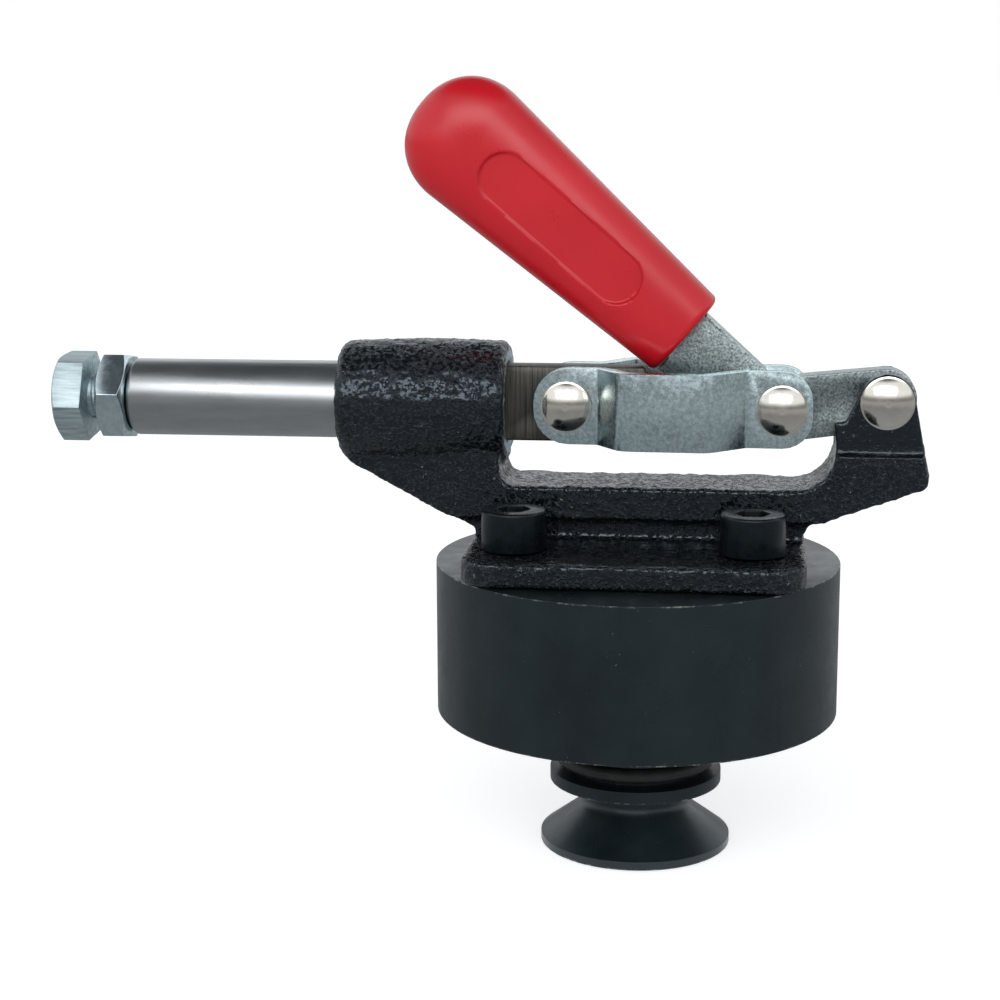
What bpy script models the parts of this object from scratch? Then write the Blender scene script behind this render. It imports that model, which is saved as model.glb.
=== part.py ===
# Push-pull toggle clamp on a round adapter for a welding table.
#
# Frame: the origin is the centre of the foot's bottom face, +Z is up and the
# plunger pushes along -X. The clamp is modelled locked, with its plunger out.

import math

import bmesh
import bpy
from mathutils import Matrix, Vector

MM = 0.001

# Clearances
TOUCH_GAP = 0.3 * MM
HOLE_GAP = 0.3 * MM
TONGUE_CLEARANCE = 0.5 * MM

# Turned adapter, stacked from the foot up
FOOT_RADIUS = 19.95 * MM
FOOT_RIM_HEIGHT = 1.7 * MM
CONE_HEIGHT = 7.1 * MM
NECK_RADIUS = 10.4 * MM
NECK_HEIGHT = 4.6 * MM
NECK_FILLET = 3.0 * MM
LOWER_LAND_HEIGHT = 2.6 * MM
LAND_RADIUS = 18.0 * MM
GROOVE_HEIGHT = 5.2 * MM
GROOVE_DEPTH = 4.4 * MM
UPPER_LAND_HEIGHT = 8.3 * MM
DISC_THICKNESS = 31.5 * MM
DISC_RADIUS = 41.7 * MM
DISC_CHAMFER = 0.7 * MM
O_RING_THICKNESS = 3.0 * MM

# Bolted flange
FLANGE_CENTRE_X = 0.4 * MM
FLANGE_LENGTH = 67.6 * MM
FLANGE_WIDTH = 63.2 * MM
FLANGE_THICKNESS = 5.0 * MM
FLANGE_CORNER_RADIUS = 7.0 * MM
FLANGE_EDGE_RADIUS = 0.8 * MM

# Base screws
SCREW_SPACING_X = 47.3 * MM
SCREW_SPACING_Y = 36.6 * MM
SCREW_HEAD_RADIUS = 6.5 * MM
SCREW_HEAD_HEIGHT = 8.0 * MM
SCREW_HEAD_ROUNDING = 0.6 * MM
SCREW_SHANK_RADIUS = 4.0 * MM
SCREW_LENGTH = 20.0 * MM
SCREW_SOCKET_FLATS = 6.0 * MM
SCREW_SOCKET_DEPTH = 4.6 * MM
TAPPED_SPARE = 2.6 * MM

# Toggle linkage
ROD_HEIGHT = 32.1 * MM
REAR_PIVOT_X = 49.7 * MM
REAR_PIVOT_RISE = 1.8 * MM
CRANK_LENGTH = 20.8 * MM
CRANK_DIP = math.radians(5.6)
LINK_LENGTH = 43.3 * MM
LEVER_THICKNESS = 5.5 * MM
RIVET_SHANK_RADIUS = 3.0 * MM
LINK_HEAD_RADIUS = 5.15 * MM
LINK_HEAD_HEIGHT = 2.3 * MM
REAR_HEAD_RADIUS = 5.35 * MM
REAR_HEAD_HEIGHT = 2.4 * MM

# Cast body under the barrel
BODY_WIDTH = 18.0 * MM
WEB_WIDTH = 12.0 * MM
WEB_HEIGHT = 4.4 * MM
WEB_FILLET = 1.4 * MM
WEB_END_INSET = 0.3 * MM
NOTCH_HEIGHT = 1.6 * MM
BEAM_HEIGHT = 6.6 * MM
CAST_EDGE_RADIUS = 1.0 * MM
CHIN_WIDTH = 11.0 * MM
CHIN_RADIUS = 2.6 * MM
CHIN_TUCK = 1.0 * MM
WINDOW_LEFT_RADIUS = 3.2 * MM
WINDOW_RIGHT_RADIUS = 8.0 * MM

# Guide barrel
BARREL_RIGHT_X = -26.6 * MM
BARREL_LENGTH = 34.8 * MM
BARREL_WALL = 4.55 * MM
BARREL_LEFT_WALL = 1.9 * MM
BARREL_RIGHT_WALL = 2.6 * MM
BARREL_LEFT_ROUNDING = 1.5 * MM
BARREL_RIGHT_ROUNDING = 1.2 * MM
BARREL_CROWN = 0.6 * MM
BARREL_LIP = 1.2 * MM

# Clevis
CLEVIS_FRONT_REACH = 10.3 * MM
CLEVIS_FRONT_SLANT = 1.1 * MM
CLEVIS_REAR_REACH = 8.5 * MM
CLEVIS_HEEL_DROP = 15.2 * MM
CLEVIS_HEEL_RADIUS = 2.0 * MM
HEEL_BEND_RISE = 2.6 * MM
UNDERCUT_REACH = 1.2 * MM
UNDERCUT_HEIGHT = 3.6 * MM
EAR_RADIUS = 5.6 * MM
EAR_THICKNESS = 4.35 * MM
EAR_STEP_GAP = 1.05 * MM
EAR_SHOULDER_DROP = 4.0 * MM
EAR_SHOULDER_WIDTH = 2.2 * MM

# Link plates
PLATE_THICKNESS = 3.0 * MM
PLATE_HEIGHT = 15.5 * MM
PLATE_FRONT_OVERHANG = 6.7 * MM
PLATE_REAR_OVERHANG = 6.2 * MM
PLATE_FRONT_RADIUS = 7.0 * MM
PLATE_REAR_RADIUS = 6.0 * MM
FRONT_FLAT = 7.1 * MM
FRONT_JOG_RUN = 5.0 * MM
REAR_FLAT = 7.6 * MM
REAR_JOG_RUN = 7.4 * MM
JOG_BEND_RADIUS = 2.6 * MM

# Plunger and its adjusting bolt
ROD_RADIUS = 8.0 * MM
ROD_REACH = 44.6 * MM
ROD_CHAMFER = 0.9 * MM
TONGUE_ROOT = 2.9 * MM
TONGUE_CORNER_RADIUS = 2.0 * MM
BOLT_RADIUS = 5.0 * MM
BOLT_LENGTH = 45.0 * MM
BOLT_CHAMFER = 0.8 * MM
BOLT_HEAD_FLATS = 17.0 * MM
BOLT_HEAD_HEIGHT = 6.4 * MM
BOLT_HEAD_TURN = math.radians(-37.0)
BOLT_HEAD_GAP = 2.9 * MM
BORE_SPARE = 4.5 * MM
NUT_HEIGHT = 6.0 * MM
NUT_TURN = math.radians(-20.5)
HEX_CHAMFER_SLOPE = math.radians(28.0)
HEX_CHAMFER_INSET = 0.3 * MM

# Lever, measured from the middle pivot
HUB_RADIUS = 6.1 * MM
ELBOW_REACH = 5.45 * MM
ELBOW_DROP = 7.7 * MM
ELBOW_RADIUS = 6.0 * MM
ARM_BEND_REACH = 1.55 * MM
ARM_BEND_RISE = 6.0 * MM
ARM_BEND_RADIUS = 5.0 * MM
ARM_LOW_EDGE = 8.5 * MM
ARM_HIGH_EDGE = 6.05 * MM
TANG_WIDTH = 11.0 * MM
TANG_LENGTH = 47.0 * MM
TANG_END_RADIUS = 3.0 * MM

# Grip, placed from the middle pivot
GRIP_REACH = 19.55 * MM
GRIP_RISE = 14.33 * MM
GRIP_ANGLE = math.radians(41.2)
GRIP_LENGTH = 71.0 * MM
GRIP_TIP_LENGTH = 12.9 * MM
GRIP_TIP_POWER = 2.15
GRIP_WIDTH = 19.2 * MM
GRIP_TAPER = math.radians(3.6)
GRIP_THICKNESS = 14.0 * MM
GRIP_THICKNESS_TAPER = math.radians(1.7)
GRIP_SECTION_POWER = 3.0
GRIP_MOUTH_ROUNDING = 1.2 * MM
PANEL_START = 13.1 * MM
PANEL_LENGTH = 39.9 * MM
PANEL_WIDTH = 10.5 * MM
PANEL_DEPTH = 0.6 * MM

# Mesh fineness
ARC_STEP = math.radians(15.0)
FINE_ARC_STEP = math.radians(10.0)
LARGE_ROUND_STEPS = 56
ROUND_STEPS = 40
SMALL_STEPS = 24
GRIP_STEPS = 32
TIP_RINGS = 8

# Places worked out from the sizes above
CONE_TOP_Z = FOOT_RIM_HEIGHT + CONE_HEIGHT
LAND_BOTTOM_Z = CONE_TOP_Z + NECK_HEIGHT
GROOVE_BOTTOM_Z = LAND_BOTTOM_Z + LOWER_LAND_HEIGHT
GROOVE_TOP_Z = GROOVE_BOTTOM_Z + GROOVE_HEIGHT
GROOVE_RADIUS = LAND_RADIUS - GROOVE_DEPTH
DISC_BOTTOM_Z = GROOVE_TOP_Z + UPPER_LAND_HEIGHT
DISC_TOP_Z = DISC_BOTTOM_Z + DISC_THICKNESS
FLANGE_BOTTOM_Z = DISC_TOP_Z + TOUCH_GAP
FLANGE_TOP_Z = FLANGE_BOTTOM_Z + FLANGE_THICKNESS
FLANGE_LEFT_X = FLANGE_CENTRE_X - FLANGE_LENGTH / 2
FLANGE_RIGHT_X = FLANGE_CENTRE_X + FLANGE_LENGTH / 2
WEB_TOP_Z = FLANGE_TOP_Z + WEB_HEIGHT
BEAM_TOP_Z = WEB_TOP_Z + BEAM_HEIGHT
SCREW_SEAT_Z = FLANGE_TOP_Z + TOUCH_GAP
TAPPED_DEPTH = SCREW_LENGTH - FLANGE_THICKNESS - 2 * TOUCH_GAP + TAPPED_SPARE
ROD_AXIS_Z = FLANGE_BOTTOM_Z + ROD_HEIGHT

CRANK = CRANK_LENGTH * Vector((math.cos(CRANK_DIP), 0.0, math.sin(CRANK_DIP)))
REAR_PIVOT = Vector((REAR_PIVOT_X, 0.0, ROD_AXIS_Z + REAR_PIVOT_RISE))
MIDDLE_PIVOT = REAR_PIVOT - CRANK
FOLDED_PIVOT = REAR_PIVOT + CRANK
LINK_TILT = math.asin((ROD_AXIS_Z - MIDDLE_PIVOT.z) / LINK_LENGTH)
FOLDED_TILT = math.asin((ROD_AXIS_Z - FOLDED_PIVOT.z) / LINK_LENGTH)
PLUNGER_PIVOT = Vector((MIDDLE_PIVOT.x - LINK_LENGTH * math.cos(LINK_TILT), 0.0, ROD_AXIS_Z))
PULLED_BACK_X = FOLDED_PIVOT.x - LINK_LENGTH * math.cos(FOLDED_TILT)

LEVER_HALF = LEVER_THICKNESS / 2
PLATE_INNER_Y = LEVER_HALF + TOUCH_GAP
PLATE_OUTER_Y = PLATE_INNER_Y + PLATE_THICKNESS
LINK_HEAD_Y = PLATE_OUTER_Y + TOUCH_GAP
EAR_INNER_Y = LEVER_HALF + TOUCH_GAP
EAR_OUTER_Y = EAR_INNER_Y + EAR_THICKNESS
REAR_HEAD_Y = EAR_OUTER_Y + TOUCH_GAP
RAISED_INNER_Y = REAR_HEAD_Y + REAR_HEAD_HEIGHT + TOUCH_GAP

BORE_RADIUS = ROD_RADIUS + HOLE_GAP
BARREL_RADIUS = BORE_RADIUS + BARREL_WALL
BARREL_LEFT_X = BARREL_RIGHT_X - BARREL_LENGTH
WINDOW_LEFT_X = BARREL_RIGHT_X - BARREL_LIP
CHIN_LEFT_X = BARREL_LEFT_X + BARREL_LIP
CLEVIS_LEFT_X = REAR_PIVOT_X - CLEVIS_FRONT_REACH
CLEVIS_RIGHT_X = REAR_PIVOT_X + CLEVIS_REAR_REACH
CLEVIS_HEEL_Z = ROD_AXIS_Z - CLEVIS_HEEL_DROP
EAR_STEP_Z = ROD_AXIS_Z - PLATE_HEIGHT / 2 - EAR_STEP_GAP
SLOT_FLOOR_Z = ROD_AXIS_Z - ROD_RADIUS - TOUCH_GAP
ROD_FRONT_X = BARREL_LEFT_X - ROD_REACH
TONGUE_REACH = REAR_PIVOT_X - PULLED_BACK_X - HUB_RADIUS - TONGUE_CLEARANCE
NUT_FRONT_X = ROD_FRONT_X - TOUCH_GAP - NUT_HEIGHT
BOLT_SEAT_X = NUT_FRONT_X - BOLT_HEAD_GAP
FAR = 2 * FLANGE_WIDTH


def clear_scene():
    for old in list(bpy.data.objects):
        bpy.data.objects.remove(old, do_unlink=True)


def make_collection(name):
    collection = bpy.data.collections.new(name)
    bpy.context.scene.collection.children.link(collection)
    return collection


clear_scene()
PIECES = make_collection("toggle_clamp")
CUTTERS = make_collection("cutters")


def make_material(name, colour, metallic, roughness):
    material = bpy.data.materials.new(name)
    material.use_nodes = True
    shader = material.node_tree.nodes["Principled BSDF"]
    shader.inputs["Base Color"].default_value = (*colour, 1.0)
    shader.inputs["Metallic"].default_value = metallic
    shader.inputs["Roughness"].default_value = roughness
    material.diffuse_color = (*colour, 1.0)
    return material


# Outlines

def arc_points(centre, radius, start, end, step=ARC_STEP):
    """Points along an arc, both ends included."""
    count = max(1, math.ceil(abs(end - start) / step - 1e-6))
    turns = [start + (end - start) * i / count for i in range(count + 1)]
    return [(centre[0] + radius * math.cos(a), centre[1] + radius * math.sin(a)) for a in turns]


def rounded(corners, closed=True):
    """Fillet the corners that carry a radius: (across, up) or (across, up, radius)."""
    points = []
    for i, corner in enumerate(corners):
        here = Vector(corner[:2])
        at_end = not closed and i in (0, len(corners) - 1)
        if len(corner) == 2 or at_end:
            points.append(tuple(here))
            continue
        radius = corner[2]
        before = (Vector(corners[i - 1][:2]) - here).normalized()
        after = (Vector(corners[(i + 1) % len(corners)][:2]) - here).normalized()
        half = before.angle(after) / 2
        centre = here + (before + after).normalized() * (radius / math.sin(half))
        first = here + before * (radius / math.tan(half)) - centre
        last = here + after * (radius / math.tan(half)) - centre
        start = math.atan2(first.y, first.x)
        sweep = math.remainder(math.atan2(last.y, last.x) - start, 2 * math.pi)
        points += arc_points(centre, radius, start, start + sweep)
    return points


def boss_arc(before, centre, radius, after):
    """Points round a boss, from the tangent out of one point to the tangent into another."""
    incoming = Vector(before) - Vector(centre)
    outgoing = Vector(after) - Vector(centre)
    start = math.atan2(incoming.y, incoming.x) + math.acos(radius / incoming.length)
    end = math.atan2(outgoing.y, outgoing.x) - math.acos(radius / outgoing.length)
    return arc_points(centre, radius, start, start + (end - start) % (2 * math.pi), FINE_ARC_STEP)


# Solids

def mesh_object(name, bm):
    bm.normal_update()
    bmesh.ops.recalc_face_normals(bm, faces=bm.faces)
    mesh = bpy.data.meshes.new(name)
    bm.to_mesh(mesh)
    bm.free()
    piece = bpy.data.objects.new(name, mesh)
    PIECES.objects.link(piece)
    return piece


def box(name, low, high):
    """A box between two opposite corners."""
    low, high = Vector(low), Vector(high)
    bm = bmesh.new()
    bmesh.ops.create_cube(bm, size=1.0)
    bmesh.ops.scale(bm, vec=high - low, verts=bm.verts)
    bmesh.ops.translate(bm, vec=(low + high) / 2, verts=bm.verts)
    return mesh_object(name, bm)


def cylinder(name, radius, start, end, steps=SMALL_STEPS):
    """A cylinder from one point to another, half a step off a turned piece's edges."""
    start, end = Vector(start), Vector(end)
    bm = bmesh.new()
    bmesh.ops.create_cone(bm, cap_ends=True, segments=steps, radius1=radius, radius2=radius,
                          depth=(end - start).length)
    turn = Vector((0, 0, 1)).rotation_difference(end - start).to_matrix()
    bmesh.ops.rotate(bm, matrix=turn @ Matrix.Rotation(math.pi / steps, 3, 'Z'), verts=bm.verts)
    bmesh.ops.translate(bm, vec=(start + end) / 2, verts=bm.verts)
    return mesh_object(name, bm)


def hexagon(name, flats, low, high, turn=0.0):
    """A hexagonal prism along Z whose corner points to +X before it is turned."""
    corner_radius = flats / math.sqrt(3)
    bm = bmesh.new()
    bmesh.ops.create_cone(bm, cap_ends=True, segments=6, radius1=corner_radius,
                          radius2=corner_radius, depth=high - low)
    bmesh.ops.rotate(bm, matrix=Matrix.Rotation(turn - math.pi / 2, 3, 'Z'), verts=bm.verts)
    bmesh.ops.translate(bm, vec=(0, 0, (low + high) / 2), verts=bm.verts)
    return mesh_object(name, bm)


def turned(name, profile, steps=ROUND_STEPS):
    """Spin a profile of (radius, height) points round Z, its outside listed downwards."""
    bm = bmesh.new()
    points = [bm.verts.new((radius, 0.0, height)) for radius, height in profile]
    for upper, lower in zip(points, points[1:]):
        bm.edges.new((upper, lower))
    mesh = bpy.data.meshes.new(name)
    bm.to_mesh(mesh)
    bm.free()
    piece = bpy.data.objects.new(name, mesh)
    PIECES.objects.link(piece)
    spin = piece.modifiers.new("spin", 'SCREW')
    spin.steps = steps
    spin.render_steps = steps
    spin.use_merge_vertices = True
    spin.merge_threshold = 0.00001
    return piece


def plate(name, corners, low, high, upright=True):
    """Extrude a filleted outline from low to high: along Y when upright, else along Z."""
    curve = bpy.data.curves.new(name, 'CURVE')
    curve.dimensions = '2D'
    curve.fill_mode = 'BOTH'
    curve.extrude = (high - low) / 2
    points = rounded(corners)
    spline = curve.splines.new('POLY')
    spline.points.add(len(points) - 1)
    for point, (across, up) in zip(spline.points, points):
        point.co = (across, up, 0.0, 1.0)
    spline.use_cyclic_u = True
    drawing = bpy.data.objects.new(name, curve)
    CUTTERS.objects.link(drawing)
    evaluated = drawing.evaluated_get(bpy.context.evaluated_depsgraph_get())
    bm = bmesh.new()
    bm.from_mesh(bpy.data.meshes.new_from_object(evaluated))
    bpy.data.objects.remove(drawing, do_unlink=True)
    bmesh.ops.remove_doubles(bm, verts=bm.verts, dist=0.000001)
    bmesh.ops.dissolve_limit(bm, angle_limit=math.radians(1), verts=bm.verts, edges=bm.edges)
    bmesh.ops.translate(bm, vec=(0, 0, (low + high) / 2), verts=bm.verts)
    if upright:
        for vertex in bm.verts:
            vertex.co = (vertex.co.x, vertex.co.z, vertex.co.y)
    return mesh_object(name, bm)


def bent_sheet(name, path, thickness, low, high):
    """Sheet metal that follows a path of (x, y) points and stands from low to high."""
    bm = bmesh.new()
    foot = [bm.verts.new((x, y, low)) for x, y in path]
    edges = [bm.edges.new(pair) for pair in zip(foot, foot[1:])]
    raised = bmesh.ops.extrude_edge_only(bm, edges=edges)["geom"]
    tops = [item for item in raised if isinstance(item, bmesh.types.BMVert)]
    bmesh.ops.translate(bm, vec=(0, 0, high - low), verts=tops)
    piece = mesh_object(name, bm)
    sheet = piece.modifiers.new("sheet", 'SOLIDIFY')
    sheet.thickness = thickness
    sheet.offset = 0.0
    return piece


# Placing, cutting and finishing

def place(piece, location=(0, 0, 0), rotation=(0, 0, 0)):
    piece.location = location
    piece.rotation_euler = rotation
    return piece


def combine(piece, tool, operation='DIFFERENCE'):
    """Cut, join or intersect a piece with a tool, which is kept among the cutters."""
    PIECES.objects.unlink(tool)
    CUTTERS.objects.link(tool)
    tool.hide_render = True
    tool.display_type = 'WIRE'
    step = piece.modifiers.new(tool.name, 'BOOLEAN')
    step.operation = operation
    step.solver = 'EXACT'
    step.object = tool
    return piece


def round_edges(piece, width, segments=2):
    edges = piece.modifiers.new("rounded_edges", 'BEVEL')
    edges.width = width
    edges.segments = segments
    edges.limit_method = 'ANGLE'
    edges.angle_limit = math.radians(35)
    return piece


def finish(piece, name, material, carrier=None):
    """Name a piece, give it its material and hang it, with its tools, on its carrier."""
    piece.name = name
    piece.data.name = name
    piece.data.materials.append(material)
    piece.data.shade_smooth()
    piece.data.set_sharp_from_angle(angle=math.radians(30))
    piece.parent = carrier
    for step in piece.modifiers:
        if step.type == 'BOOLEAN':
            step.object.parent = carrier
    return piece


def axis_empty(name, location, carrier=None):
    """An empty on a joint's axis, placed in its carrier's own space."""
    empty = bpy.data.objects.new(name, None)
    empty.empty_display_size = 10 * MM
    PIECES.objects.link(empty)
    empty.location = location
    empty.parent = carrier
    return empty


# Adapter and base screws

def screw_places():
    """Where the four base screws stand, by name."""
    across, deep = SCREW_SPACING_X / 2, SCREW_SPACING_Y / 2
    return {
        "front_left": (-across, -deep),
        "front_right": (across, -deep),
        "rear_left": (-across, deep),
        "rear_right": (across, deep),
    }


def build_adapter(material):
    """The turned adapter: disc, grooved spigot, neck and flared foot."""
    profile = rounded([
        (0.0, DISC_TOP_Z),
        (DISC_RADIUS - DISC_CHAMFER, DISC_TOP_Z),
        (DISC_RADIUS, DISC_TOP_Z - DISC_CHAMFER),
        (DISC_RADIUS, DISC_BOTTOM_Z + DISC_CHAMFER),
        (DISC_RADIUS - DISC_CHAMFER, DISC_BOTTOM_Z),
        (LAND_RADIUS, DISC_BOTTOM_Z),
        (LAND_RADIUS, GROOVE_TOP_Z),
        (GROOVE_RADIUS, GROOVE_TOP_Z),
        (GROOVE_RADIUS, GROOVE_BOTTOM_Z),
        (LAND_RADIUS, GROOVE_BOTTOM_Z),
        (LAND_RADIUS, LAND_BOTTOM_Z),
        (NECK_RADIUS, LAND_BOTTOM_Z),
        (NECK_RADIUS, CONE_TOP_Z, NECK_FILLET),
        (FOOT_RADIUS, FOOT_RIM_HEIGHT),
        (FOOT_RADIUS, 0.0),
        (0.0, 0.0),
    ], closed=False)
    adapter = turned("adapter", profile, LARGE_ROUND_STEPS)
    for x, y in screw_places().values():
        combine(adapter, cylinder("tapped_hole", SCREW_SHANK_RADIUS + HOLE_GAP,
                                  (x, y, DISC_TOP_Z - TAPPED_DEPTH), (x, y, FLANGE_TOP_Z)))
    return finish(adapter, "adapter_base", material)


def build_o_ring(material):
    """The rubber ring that sits in the spigot's groove."""
    section = O_RING_THICKNESS / 2
    bm = bmesh.new()
    bmesh.ops.create_circle(bm, segments=10, radius=section)
    bmesh.ops.rotate(bm, matrix=Matrix.Rotation(math.pi / 2, 3, 'X'), verts=bm.verts)
    middle = (GROOVE_RADIUS + TOUCH_GAP + section, 0, (GROOVE_BOTTOM_Z + GROOVE_TOP_Z) / 2)
    bmesh.ops.translate(bm, vec=middle, verts=bm.verts)
    bmesh.ops.spin(bm, geom=bm.verts[:] + bm.edges[:], cent=(0, 0, 0), axis=(0, 0, 1),
                   angle=2 * math.pi, steps=ROUND_STEPS, use_merge=True)
    return finish(mesh_object("ring", bm), "o_ring", material)


def build_screw(name, x, y, material):
    """A socket-head cap screw through the flange into the adapter."""
    profile = rounded([
        (0.0, SCREW_HEAD_HEIGHT),
        (SCREW_HEAD_RADIUS, SCREW_HEAD_HEIGHT, SCREW_HEAD_ROUNDING),
        (SCREW_HEAD_RADIUS, 0.0),
        (SCREW_SHANK_RADIUS, 0.0),
        (SCREW_SHANK_RADIUS, -SCREW_LENGTH, SCREW_HEAD_ROUNDING),
        (0.0, -SCREW_LENGTH),
    ], closed=False)
    screw = place(turned("screw", profile, SMALL_STEPS), (x, y, SCREW_SEAT_Z))
    socket = hexagon("socket", SCREW_SOCKET_FLATS, SCREW_HEAD_HEIGHT - SCREW_SOCKET_DEPTH,
                     2 * SCREW_HEAD_HEIGHT)
    combine(screw, place(socket, (x, y, SCREW_SEAT_Z)))
    return finish(screw, "base_screw_" + name, material)


# Cast body

def body_outline():
    """Side view of the casting: chin, web, heel, ear and window."""
    pivot = (REAR_PIVOT.x, REAR_PIVOT.z)
    web_left = FLANGE_LEFT_X + WEB_END_INSET
    web_right = FLANGE_RIGHT_X - WEB_END_INSET
    notch_z = FLANGE_TOP_Z + NOTCH_HEIGHT
    foot_z = FLANGE_BOTTOM_Z + FLANGE_THICKNESS / 2
    chin_z = ROD_AXIS_Z - BARREL_RADIUS + CHIN_TUCK
    heel = (CLEVIS_RIGHT_X, CLEVIS_HEEL_Z + HEEL_BEND_RISE)
    shoulder_z = REAR_PIVOT.z - EAR_SHOULDER_DROP
    shoulder = (CLEVIS_LEFT_X + EAR_SHOULDER_WIDTH, shoulder_z)
    return [
        (CHIN_LEFT_X, ROD_AXIS_Z),
        (CHIN_LEFT_X, chin_z, CHIN_RADIUS),
        (web_left, notch_z),
        (web_left, foot_z),
        (web_right, foot_z),
        (web_right, notch_z),
        (web_right + UNDERCUT_REACH, FLANGE_TOP_Z + UNDERCUT_HEIGHT, CLEVIS_HEEL_RADIUS),
        (CLEVIS_RIGHT_X, CLEVIS_HEEL_Z, CLEVIS_HEEL_RADIUS),
        heel,
        *boss_arc(heel, pivot, EAR_RADIUS, shoulder),
        shoulder,
        (CLEVIS_LEFT_X, shoulder_z),
        (CLEVIS_LEFT_X + CLEVIS_FRONT_SLANT, BEAM_TOP_Z, WINDOW_RIGHT_RADIUS),
        (WINDOW_LEFT_X, BEAM_TOP_Z, WINDOW_LEFT_RADIUS),
        (WINDOW_LEFT_X, ROD_AXIS_Z),
    ]


def taper_chin(piece):
    """Draw the casting in towards the chin, from the flange's left end on."""
    bm = bmesh.new()
    bm.from_mesh(piece.data)
    bmesh.ops.bisect_plane(bm, geom=bm.verts[:] + bm.edges[:] + bm.faces[:], dist=0.000001,
                           plane_co=(FLANGE_LEFT_X, 0, 0), plane_no=(1, 0, 0))
    for vertex in bm.verts:
        share = (FLANGE_LEFT_X - vertex.co.x) / (FLANGE_LEFT_X - CHIN_LEFT_X)
        if share > 0:
            vertex.co.y *= 1 - share * (1 - CHIN_WIDTH / BODY_WIDTH)
    bm.to_mesh(piece.data)
    bm.free()
    return piece


def barrel_profile():
    """The barrel's crowned outline, as (radius, distance from its left end)."""
    right_face = BORE_RADIUS + BARREL_RIGHT_WALL
    left_face = BORE_RADIUS + BARREL_LEFT_WALL
    crown = [
        (BARREL_RADIUS - BARREL_CROWN / 2, BARREL_LENGTH - BARREL_RIGHT_ROUNDING),
        (BARREL_RADIUS, BARREL_LENGTH * 0.6),
        (BARREL_RADIUS, BARREL_LENGTH * 0.45),
        (BARREL_RADIUS - BARREL_CROWN, BARREL_LEFT_ROUNDING),
    ]
    right_edge = (right_face + BARREL_RADIUS) / 2
    left_edge = (left_face + BARREL_RADIUS) / 2
    return [
        (0.0, BARREL_LENGTH),
        (right_face, BARREL_LENGTH),
        (right_edge, BARREL_LENGTH - BARREL_RIGHT_ROUNDING / 4),
        *crown,
        (left_edge, BARREL_LEFT_ROUNDING / 3),
        (left_face, 0.0),
        (0.0, 0.0),
    ]


def flange_corners():
    half_width = FLANGE_WIDTH / 2
    return [
        (FLANGE_LEFT_X, -half_width, FLANGE_CORNER_RADIUS),
        (FLANGE_RIGHT_X, -half_width, FLANGE_CORNER_RADIUS),
        (FLANGE_RIGHT_X, half_width, FLANGE_CORNER_RADIUS),
        (FLANGE_LEFT_X, half_width, FLANGE_CORNER_RADIUS),
    ]


def build_body(material):
    """The casting: guide barrel, beam, slotted clevis, web and bolted flange."""
    body = plate("side_body", body_outline(), -BODY_WIDTH / 2, BODY_WIDTH / 2)
    taper_chin(body)
    round_edges(body, CAST_EDGE_RADIUS)

    # Pockets leave a narrow web under the beam, and the ears are dressed flat
    for side in (-1, 1):
        near, far = sorted((side * WEB_WIDTH / 2, side * BODY_WIDTH))
        pocket = box("web_pocket", (-FAR, near, FLANGE_BOTTOM_Z), (FAR, far, WEB_TOP_Z))
        combine(body, round_edges(pocket, WEB_FILLET))
        near, far = sorted((side * EAR_OUTER_Y, side * BODY_WIDTH))
        combine(body, box("ear_face", (WINDOW_LEFT_X + BODY_WIDTH, near, EAR_STEP_Z),
                          (FAR, far, REAR_PIVOT.z + FAR)))

    flange = plate("flange", flange_corners(), FLANGE_BOTTOM_Z, FLANGE_TOP_Z, upright=False)
    combine(body, round_edges(flange, FLANGE_EDGE_RADIUS), 'UNION')
    barrel = turned("barrel", barrel_profile(), ROUND_STEPS)
    combine(body, place(barrel, (BARREL_LEFT_X, 0, ROD_AXIS_Z), (0, math.pi / 2, 0)), 'UNION')

    combine(body, cylinder("bore", BORE_RADIUS, (BARREL_LEFT_X - BORE_RADIUS, 0, ROD_AXIS_Z),
                           (BARREL_RIGHT_X + BORE_RADIUS, 0, ROD_AXIS_Z), ROUND_STEPS))
    combine(body, box("lever_slot", (CLEVIS_LEFT_X - EAR_RADIUS, -EAR_INNER_Y, SLOT_FLOOR_Z),
                      (FAR, EAR_INNER_Y, REAR_PIVOT.z + FAR)))
    for x, y in screw_places().values():
        combine(body, cylinder("screw_hole", SCREW_SHANK_RADIUS + HOLE_GAP,
                               (x, y, DISC_BOTTOM_Z), (x, y, WEB_TOP_Z)))
    combine(body, cylinder("pivot_hole", RIVET_SHANK_RADIUS + HOLE_GAP,
                           (REAR_PIVOT.x, -BODY_WIDTH, REAR_PIVOT.z),
                           (REAR_PIVOT.x, BODY_WIDTH, REAR_PIVOT.z)))
    return finish(body, "clamp_body", material)


# Plunger

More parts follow.
